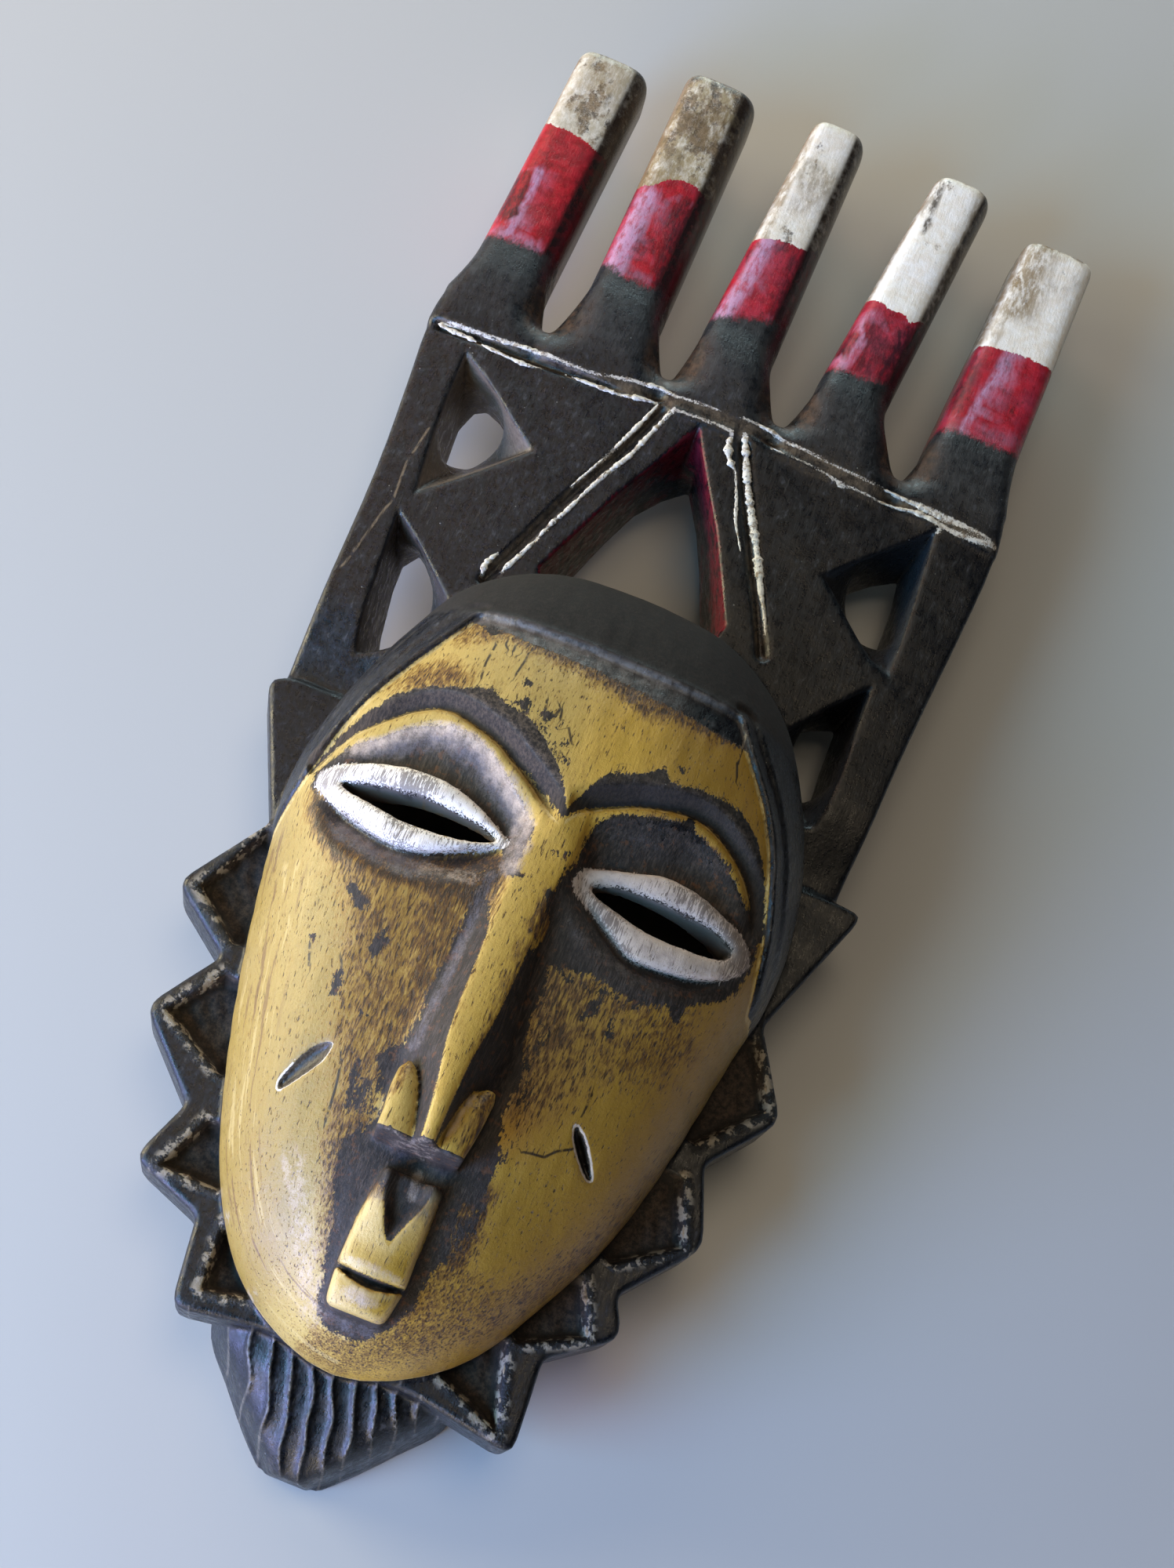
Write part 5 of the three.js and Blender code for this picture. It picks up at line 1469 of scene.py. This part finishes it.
    # White eyelids, the right one greyed by painted shade, and a painted highlight along the mouth's edges
    lid_mask = ragged("lid", 0.16, 0.8, 0.1)
    nicks = s.use(effects.flecks, place=place, across=2.6, along=0.2, amount=0.36)
    white = s.tint(smudge, 0.4, 0.75, (252, 244, 238), (230, 218, 208))
    shaded_white = s.tint(smudge, 0.4, 0.75, (196, 182, 174), (170, 156, 150))
    # Painted shade: the right lid is greyer
    white = over(white, shaded_white, s.spread(value("shaded_right_side"), 0.5, 1.0))
    white = over(white, (96, 84, 78), nicks * 0.75)
    base = over(base, white, lid_mask)
    # Painted light on the eye slits' walls
    base = over(base, (112, 102, 96), value("slit"))
    # Painted highlight along the mouth's edges
    lip_edge_highlight = s.spread(value("lips"), 0.0, 0.5) * s.spread(value("lips"), 1.0, 2.2, 1.0, 0.0)
    base = over(base, (222, 200, 150), lip_edge_highlight * 0.35)

    # Prongs: red paint with a painted sheen, white paint, marks, painted shade on the right walls and dirt on
    # the left
    red_mask = ragged("red", 0.7, 1.3, 1.5)
    red = s.tint(smudge, 0.35, 0.65, (140, 10, 22), (182, 24, 38))
    # Painted sheen: a pink glint on the red
    red_sheen_patches = value("red_sheen") * s.spread(s.noise(place, 0.12, 4.0, 0.65), 0.34, 0.66, 0.2, 1.0)
    red = over(red, (176, 84, 112), red_sheen_patches * 0.6)
    grime_noise = s.noise(s.stretched(place, 1, 0.6, 1), 0.14, 5.0, 0.72)
    dark_patch = s.spread(grime_noise, 0.53, 0.68, 0.0, 0.7)
    mark_noise = s.noise(s.stretched(place, 1, 0.35, 1), 0.65, 4.0, 0.7)
    red = over(red, (40, 22, 28), dark_patch)
    # Painted sheen: lavender strokes on the red; the black strokes are dark blots
    mark = value("red_mark_and_sheen") * s.spread(mark_noise, 0.32, 0.6, 0.25, 1.0)
    red = over(red, s.mix(value("red_tone"), (196, 158, 192), (34, 24, 34)), mark)
    # Painted shade on the right walls of the red
    red = over(red, (30, 20, 22), value("right_wall_shade") * smudged(0.3, 0.6, 0.75, 1.0))
    base = over(base, red, red_mask)
    cream_mask = ragged("cream", 0.3, 0.6, 0.12)
    cream = s.tint(smudge, 0.35, 0.65, (255, 252, 247), (246, 238, 226))
    film = s.math("MULTIPLY", value("dirt"), s.spread(blots, 0.3, 0.65, 0.4, 1.3), clamp=True)
    cream = over(cream, (170, 154, 122), film)
    level = 0.63 - value("dirt") * 0.2
    grime = s.spread(grime_noise, level, level + 0.1)
    grime_colour = s.tint(smudge, 0.4, 0.6, (62, 52, 46), (128, 106, 82))
    cream = over(cream, grime_colour, grime * s.spread(fine, 0.3, 0.6, 0.55, 0.95))
    rubbed = s.spread(value("convex") + smudged(0.3, 0.7, -0.14, 0.14), 0.2, 0.42)
    cream = over(cream, (104, 86, 72), rubbed * 0.75)
    mark = value("white_mark") * s.spread(mark_noise, 0.35, 0.6, 0.2, 1.0)
    cream = over(cream, s.mix(value("white_tone"), (150, 126, 88), (52, 44, 40)), mark)
    # Painted shade on the right walls of the white
    cream = over(cream, (44, 34, 28), value("right_wall_shade") * smudged(0.3, 0.6, 0.8, 1.0))
    cream = over(cream, (138, 112, 84), value("wall_left") * smudged(0.3, 0.6, 0.5, 0.95))
    base = over(base, cream, cream_mask)

    # Dirt in the teeth's recesses, and the scars
    floor_dirt = s.spread(value("recess"), 0.2, 1.0)
    recess = s.tint(pitted, 0.35, 0.68, (22, 18, 17), (74, 60, 50))
    base = over(base, recess, floor_dirt)
    crust_band = s.spread(value("crust"), 0.6, 2.6, 1.0, 0.0)
    crust = smudged(0.5, 0.57) * crust_band
    base = over(base, s.tint(smudge, 0.4, 0.6, (100, 82, 64), (184, 172, 154)), crust * 0.7)

    scar = value("scar") + (speck_noise - 0.5) * 0.8
    scar_in = s.spread(scar, -0.05, 0.15, 1.0, 0.0)
    scar_floor = s.tint(grain, 0.35, 0.65, (44, 38, 32), (92, 82, 68))
    # Painted shade: the right scar's floor is darker
    base = over(base, s.mix(value("shaded_right_side"), scar_floor, (28, 25, 24)), scar_in)
    beyond = scar - value("scar_rim")
    rim_mask = (1.0 - scar_in) * s.spread(beyond, -0.1, 0.12, 1.0, 0.0)
    # Painted shade: the right scar's rim is darker
    base = over(base, s.mix(value("shaded_right_side"), (226, 218, 208), (196, 182, 170)), rim_mask)

    # Bare wood, rubbed ridges partly as painted highlight, and dirt with painted shade in the creases
    bare = s.tint(streaks, 0.3, 0.7, (104, 78, 54), (146, 116, 84))
    base = over(base, bare, value("raw"))
    # Rubbed ridges: partly wear and partly painted highlight
    worn_ridge_and_highlight = s.spread(value("convex"), 0.2, 0.45) * smudged(0.5, 0.75)
    base = over(base, (120, 112, 104), worn_ridge_and_highlight * 0.3)
    # Darker in the creases: dirt and painted shade
    base = over(base, (22, 18, 16), s.spread(value("convex"), -0.12, -0.42) * 0.7)

    # Gloss and height
    satin = s.spread(blots, 0.36, 0.64, 0.22, 0.5)
    roughness = s.blend(gold_mask, satin, smudged(0.3, 0.7, 0.32, 0.44))
    roughness = s.blend(s.highest(lid_mask, cream_mask), roughness, 0.5)
    roughness = s.blend(red_mask, roughness, 0.26)
    matte = s.highest(value("raw"), soot_mask * 0.7, floor_dirt, value("eave"), value("band"), value("cap"))
    roughness = s.blend(matte, roughness, 0.8)
    height = gold_mask * 0.1 - nips * (gold_mask * 0.09)
    height = height + streaks * 0.12 + smudge * 0.12 + fine * 0.06 + pitted * 0.12
    height = height + crust_band * pitted * 0.4
    s.surface(base, roughness, height, 0.9, MM)
    return material


def thick_paint(effects, name, light, dark):
    """Chalky paint that lies thick, with brown dirt in its pits."""
    material, s = new_material(name)
    place = s.in_mm(s.out("ShaderNodeTexCoord", output="Object"))
    dirty = s.use(effects.mottle, place=place, scale=0.45, low=0.5, high=0.66)
    flecks = s.use(effects.flecks, place=place, across=1.4, along=1.0, amount=0.24)
    base = s.mix(dirty, light, dark)
    base = s.mix(flecks * 0.8, base, (74, 60, 50))
    s.surface(base, 0.62, s.noise(place, 1.3, 4.0, 0.65), 0.8, 0.35 * MM)
    return material


def bead_tree():
    """Geometry nodes: lines with a thickness become lumpy, broken beads of paint that lie flat."""
    tree, s, given = effect("GeometryNodeTree", "Paint beads", ("Geometry", GEOMETRY), Geometry=GEOMETRY,
                            Width=0.7 * MM, Flatness=0.5, Gaps=0.3, Lumps=0.6, Seed=1.0,
                            Material="NodeSocketMaterial")
    shift = s.out("ShaderNodeCombineXYZ", {0: given["Seed"], 1: given["Seed"]})

    def lumps(scale, detail):
        here = s.in_mm(s.out("GeometryNodeInputPosition"))
        return s.noise(s.vector("ADD", here, shift), scale, detail, 0.6)

    line = s.out("GeometryNodeMeshToCurve", {0: given["Geometry"]})
    line = s.out("GeometryNodeResampleCurve", {0: line, "Length": 0.4 * MM}, mode="LENGTH")
    edges = s.out("GeometryNodeCurveToMesh", {0: line})
    thick = s.out("GeometryNodeInputNamedAttribute", {"Name": "thick"}, data_type="FLOAT")
    broken = given["Gaps"] * 0.4 + (1.0 - thick) * 0.12
    broken = s.math("LESS_THAN", lumps(0.22, 5.0), broken + 0.3)
    edges = s.out("GeometryNodeDeleteGeometry", {0: edges, 1: broken}, domain="POINT")
    line = s.out("GeometryNodeMeshToCurve", {0: edges})
    run = s.out("GeometryNodeSplineParameter", output="Length")
    whole = s.out("GeometryNodeSplineLength", output="Length")
    to_end = s.math("MINIMUM", run, whole - run)
    taper = s.spread(to_end, 0.0, 1.6 * MM, 0.3, 1.0)
    swell = 1.0 + given["Lumps"] * ((lumps(0.55, 3.0) - 0.5) * 4.0)
    radius = thick * given["Width"] * (s.math("MAXIMUM", swell, 0.35) * taper)
    line = s.out("GeometryNodeSetCurveNormal", {0: line}, mode="Z_UP")
    ring = s.out("GeometryNodeCurvePrimitiveCircle", {"Resolution": 8, "Radius": 1.0})
    flat = s.out("ShaderNodeCombineXYZ", {0: 1.0, 1: given["Flatness"], 2: 1.0})
    ring = s.out("GeometryNodeTransform", {0: ring, "Scale": flat})
    beads = s.out("GeometryNodeCurveToMesh", {0: line, 1: ring, "Scale": radius, "Fill Caps": True})
    off = (lumps(1.6, 2.0) - 0.5) * (0.5 * MM)
    offset = s.out("ShaderNodeVectorMath", {0: s.out("GeometryNodeInputNormal"), 3: off}, operation="SCALE")
    beads = s.out("GeometryNodeSetPosition", {0: beads, "Offset": offset})
    beads = s.out("GeometryNodeSetShadeSmooth", {0: beads})
    beads = s.out("GeometryNodeRealizeInstances", {0: beads})
    beads = s.out("GeometryNodeSetMaterial", {0: beads, "Material": given["Material"]})
    close_effect(s, beads)
    return tree


def lay_beads(name, lines, level, material, settings):
    """Lines of (x, y, thickness) in mm as a piece of thick paint that lies at a level over them."""
    points, edges, thick = [], [], []
    for line in lines:
        bend = smooth_line(line, 4) if len(line) > 2 else np.array(line, float)
        edges += [(len(points) + i, len(points) + i + 1) for i in range(len(bend) - 1)]
        points += [(x, y, level(x)) for x, y, _ in bend]
        thick += [t for _, _, t in bend]
    mesh = bpy.data.meshes.new(name + "_lines")
    mesh.from_pydata([tuple(p) for p in to_row(points)], edges, [])
    mesh.attributes.new("thick", "FLOAT", "POINT").data.foreach_set("value", thick)
    source = add_object(name + "_lines", mesh)
    beads = source.modifiers.new("Paint beads", "NODES")
    beads.node_group = bead_tree()
    given = {**settings, "material": material}
    for item in beads.node_group.interface.items_tree:
        if item.in_out == "INPUT" and item.name.lower() in given:
            beads[item.identifier] = given[item.name.lower()]
    piece = add_object(name, plain_mesh(source, name))
    bpy.data.objects.remove(source)
    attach(piece, "root")


class MaskForm(PropertyGroup):
    """Sizes of the carving."""

    step: FloatProperty(name="Relief step", description="Spacing of the grid that the relief is carved on",
                        default=0.0007, min=0.0005, max=0.003, unit="LENGTH")
    faces: IntProperty(name="Faces", description="Most triangles that the carved piece may have",
                       default=196000, min=20000, max=199000)
    brow: FloatProperty(name="Brow depth", description="How deep the sockets are carved, as a share",
                        default=1.0, min=0.5, max=1.5, subtype="FACTOR")
    lid: FloatProperty(name="Lid rise", description="How far the eyelids swell above their edges",
                       default=0.0016, min=0.001, max=0.004, unit="LENGTH")


class MaskPaint(PropertyGroup):
    """Colours of the paint."""

    bead: FloatVectorProperty(name="Line paint", description="Thick white paint along the cut lines", size=4,
                              default=linear(226, 220, 208), min=0, max=1, subtype="COLOR")
    bead_dirt: FloatVectorProperty(name="Line dirt", description="Dirt in the white paint", size=4,
                                   default=linear(150, 132, 108), min=0, max=1, subtype="COLOR")
    bead_width: FloatProperty(name="Line width", description="Half width of the white lines where full",
                              default=0.0007, min=0.0002, max=0.002, unit="LENGTH")
    crust_width: FloatProperty(name="Crust width", description="Half width of the teeth's crust where full",
                               default=0.0008, min=0.0002, max=0.002, unit="LENGTH")


class MASK_OT_carve(Operator):
    """Carve the mask's relief on a grid, thin it out and lay its paint"""

    bl_idname = "mask.carve"
    bl_label = "Carve and paint the mask"

    def execute(self, context):
        form = context.scene.mask_form
        lift = SimpleNamespace(brow=form.brow, lid=form.lid / MM)
        step = form.step / MM
        field, low = relief_grid(step, lift)
        points, quads = surface_net(field, low, step)
        dense = add_object("dense_carving", mesh_from("dense_carving", points, quads))
        thin = dense.modifiers.new("Thin out", "DECIMATE")
        thin.ratio = form.faces / (2 * len(quads))
        mask = add_object("carved_mask", plain_mesh(dense, "carved_mask"))
        bpy.data.objects.remove(dense)
        mask.data.shade_smooth()
        co = np.empty(len(mask.data.vertices) * 3, np.float32)
        mask.data.vertices.foreach_get("co", co)
        places = from_row(co.reshape(-1, 3))
        narrow = blurred(np.clip(field, -NARROW_BAND, NARROW_BAND), BLUR_ROUNDS)
        convex = sample_field(narrow, low, step, places)
        paint_attributes(mask.data, paint_masks(places, convex, lift))
        mask.data.materials.append(painted_wood(shared_effects()))
        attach(mask, "root")
        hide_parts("mask")
        print("carved_mask", len(quads) * 2, "->", len(mask.data.polygons))
        return {"FINISHED"}


class MASK_OT_line_paint(Operator):
    """Lay the thick white paint along the edges of the crest's grooves"""

    bl_idname = "mask.line_paint"
    bl_label = "Lay the line paint"

    def execute(self, context):
        paint = context.scene.mask_paint
        chalk = thick_paint(shared_effects(), "Line paint", paint.bead, paint.bead_dirt)
        settings = {"width": paint.bead_width, "gaps": 0.12, "lumps": 0.7, "seed": 3.0}
        lay_beads("line_paint", BEADS, lambda x: crest_front(x) + LINE_RISE, chalk, settings)
        return {"FINISHED"}


class MASK_OT_tooth_crust(Operator):
    """Lay the broken crust of paint along the outer edges of the teeth's recesses"""

    bl_idname = "mask.tooth_crust"
    bl_label = "Lay the tooth crust"

    def execute(self, context):
        paint = context.scene.mask_paint
        chalk = thick_paint(shared_effects(), "Tooth crust", paint.bead_dirt, (92, 76, 60))
        lines = []
        for outline in RECESSES:
            corners = np.array([outline[-1], outline[0], outline[1]], float)
            start, point, end = corners + CRUST_INSET * (corners.mean(axis=0) - corners)
            lines += [[(*start, 0.7), (*point, 1.1)], [(*point, 1.1), (*end, 0.7)]]
        settings = {"width": paint.crust_width, "gaps": 0.62, "lumps": 0.9, "seed": 8.0}
        lay_beads("tooth_crust", lines, lambda x: FLANGE_FRONT - CRUST_SINK, chalk, settings)
        return {"FINISHED"}


class MASK_OT_stage(Operator):
    """Lay the pale floor and set the soft lights and the camera"""

    bl_idname = "mask.stage"
    bl_label = "Set the stage"

    def execute(self, context):
        mesh = bpy.data.meshes.new("floor")
        far = FLOOR_HALF
        corners = [(-far, -far), (far, -far), (far, far), (-far, far)]
        mesh.from_pydata([(x, y, FLOOR_LEVEL) for x, y in corners], [], [(0, 1, 2, 3)])
        floor = add_object("floor", mesh)
        material, s = new_material("Pale floor")
        skin = s.out("ShaderNodeBsdfPrincipled", {"Base Color": linear(*FLOOR_GREY), "Roughness": 0.6})
        s.add("ShaderNodeOutputMaterial", {0: skin})
        mesh.materials.append(material)
        right, down, ahead = [Vector(v) for v in VIEW_AXES]
        data = bpy.data.cameras.new("camera")
        data.sensor_width = SENSOR
        data.lens = LENS
        data.clip_start = 10 * MM
        camera = add_object("camera", data)
        place = Vector(to_row(VIEW_FROM))
        axes = Matrix((right, -down, -ahead)).transposed().to_4x4()
        camera.matrix_world = Matrix.Translation(place) @ axes
        context.scene.camera = camera
        for name, towards, colour in LIGHTS:
            lamp = bpy.data.lights.new(name, "AREA")
            lamp.shape = "DISK"
            lamp.size = LAMP_SIZE
            lamp.energy = LAMP_POWER
            lamp.color = colour
            made = add_object(name, lamp)
            direction = (right * towards[0] - down * towards[1] - ahead * towards[2]).normalized()
            made.location = direction * LAMP_AWAY
            made.rotation_mode = "QUATERNION"
            made.rotation_quaternion = direction.to_track_quat("Z", "Y")
        world = bpy.data.worlds.new("Soft surround")
        world.use_nodes = True
        surround = world.node_tree.nodes["Background"]
        surround.inputs[0].default_value = SURROUND
        surround.inputs[1].default_value = SURROUND_STRENGTH
        context.scene.world = world
        context.scene.view_settings.view_transform = "Standard"
        return {"FINISHED"}


class MASK_PT_sidebar(Panel):
    """Sizes, colours and steps of the mask"""

    bl_label = "Carved crest mask"
    bl_space_type = "VIEW_3D"
    bl_region_type = "UI"
    bl_category = "Mask"

    def draw(self, context):
        for group in (context.scene.mask_form, context.scene.mask_paint):
            box = self.layout.box()
            for name in group.__annotations__:
                box.prop(group, name)
        for step in STEPS:
            self.layout.operator(step)


STEPS = ["mask.carve", "mask.line_paint", "mask.tooth_crust", "mask.stage"]
CLASSES = [
    MaskForm, MaskPaint, MASK_OT_carve, MASK_OT_line_paint, MASK_OT_tooth_crust, MASK_OT_stage,
    MASK_PT_sidebar,
]


def register():
    for made in CLASSES:
        bpy.utils.register_class(made)
    bpy.types.Scene.mask_form = PointerProperty(type=MaskForm)
    bpy.types.Scene.mask_paint = PointerProperty(type=MaskPaint)


def unregister():
    del bpy.types.Scene.mask_paint
    del bpy.types.Scene.mask_form
    for made in reversed(CLASSES):
        bpy.utils.unregister_class(made)


def main():
    register()
    bpy.ops.mask.carve()
    bpy.ops.mask.line_paint()
    bpy.ops.mask.tooth_crust()
    bpy.ops.mask.stage()


if __name__ == "__main__":
    main()
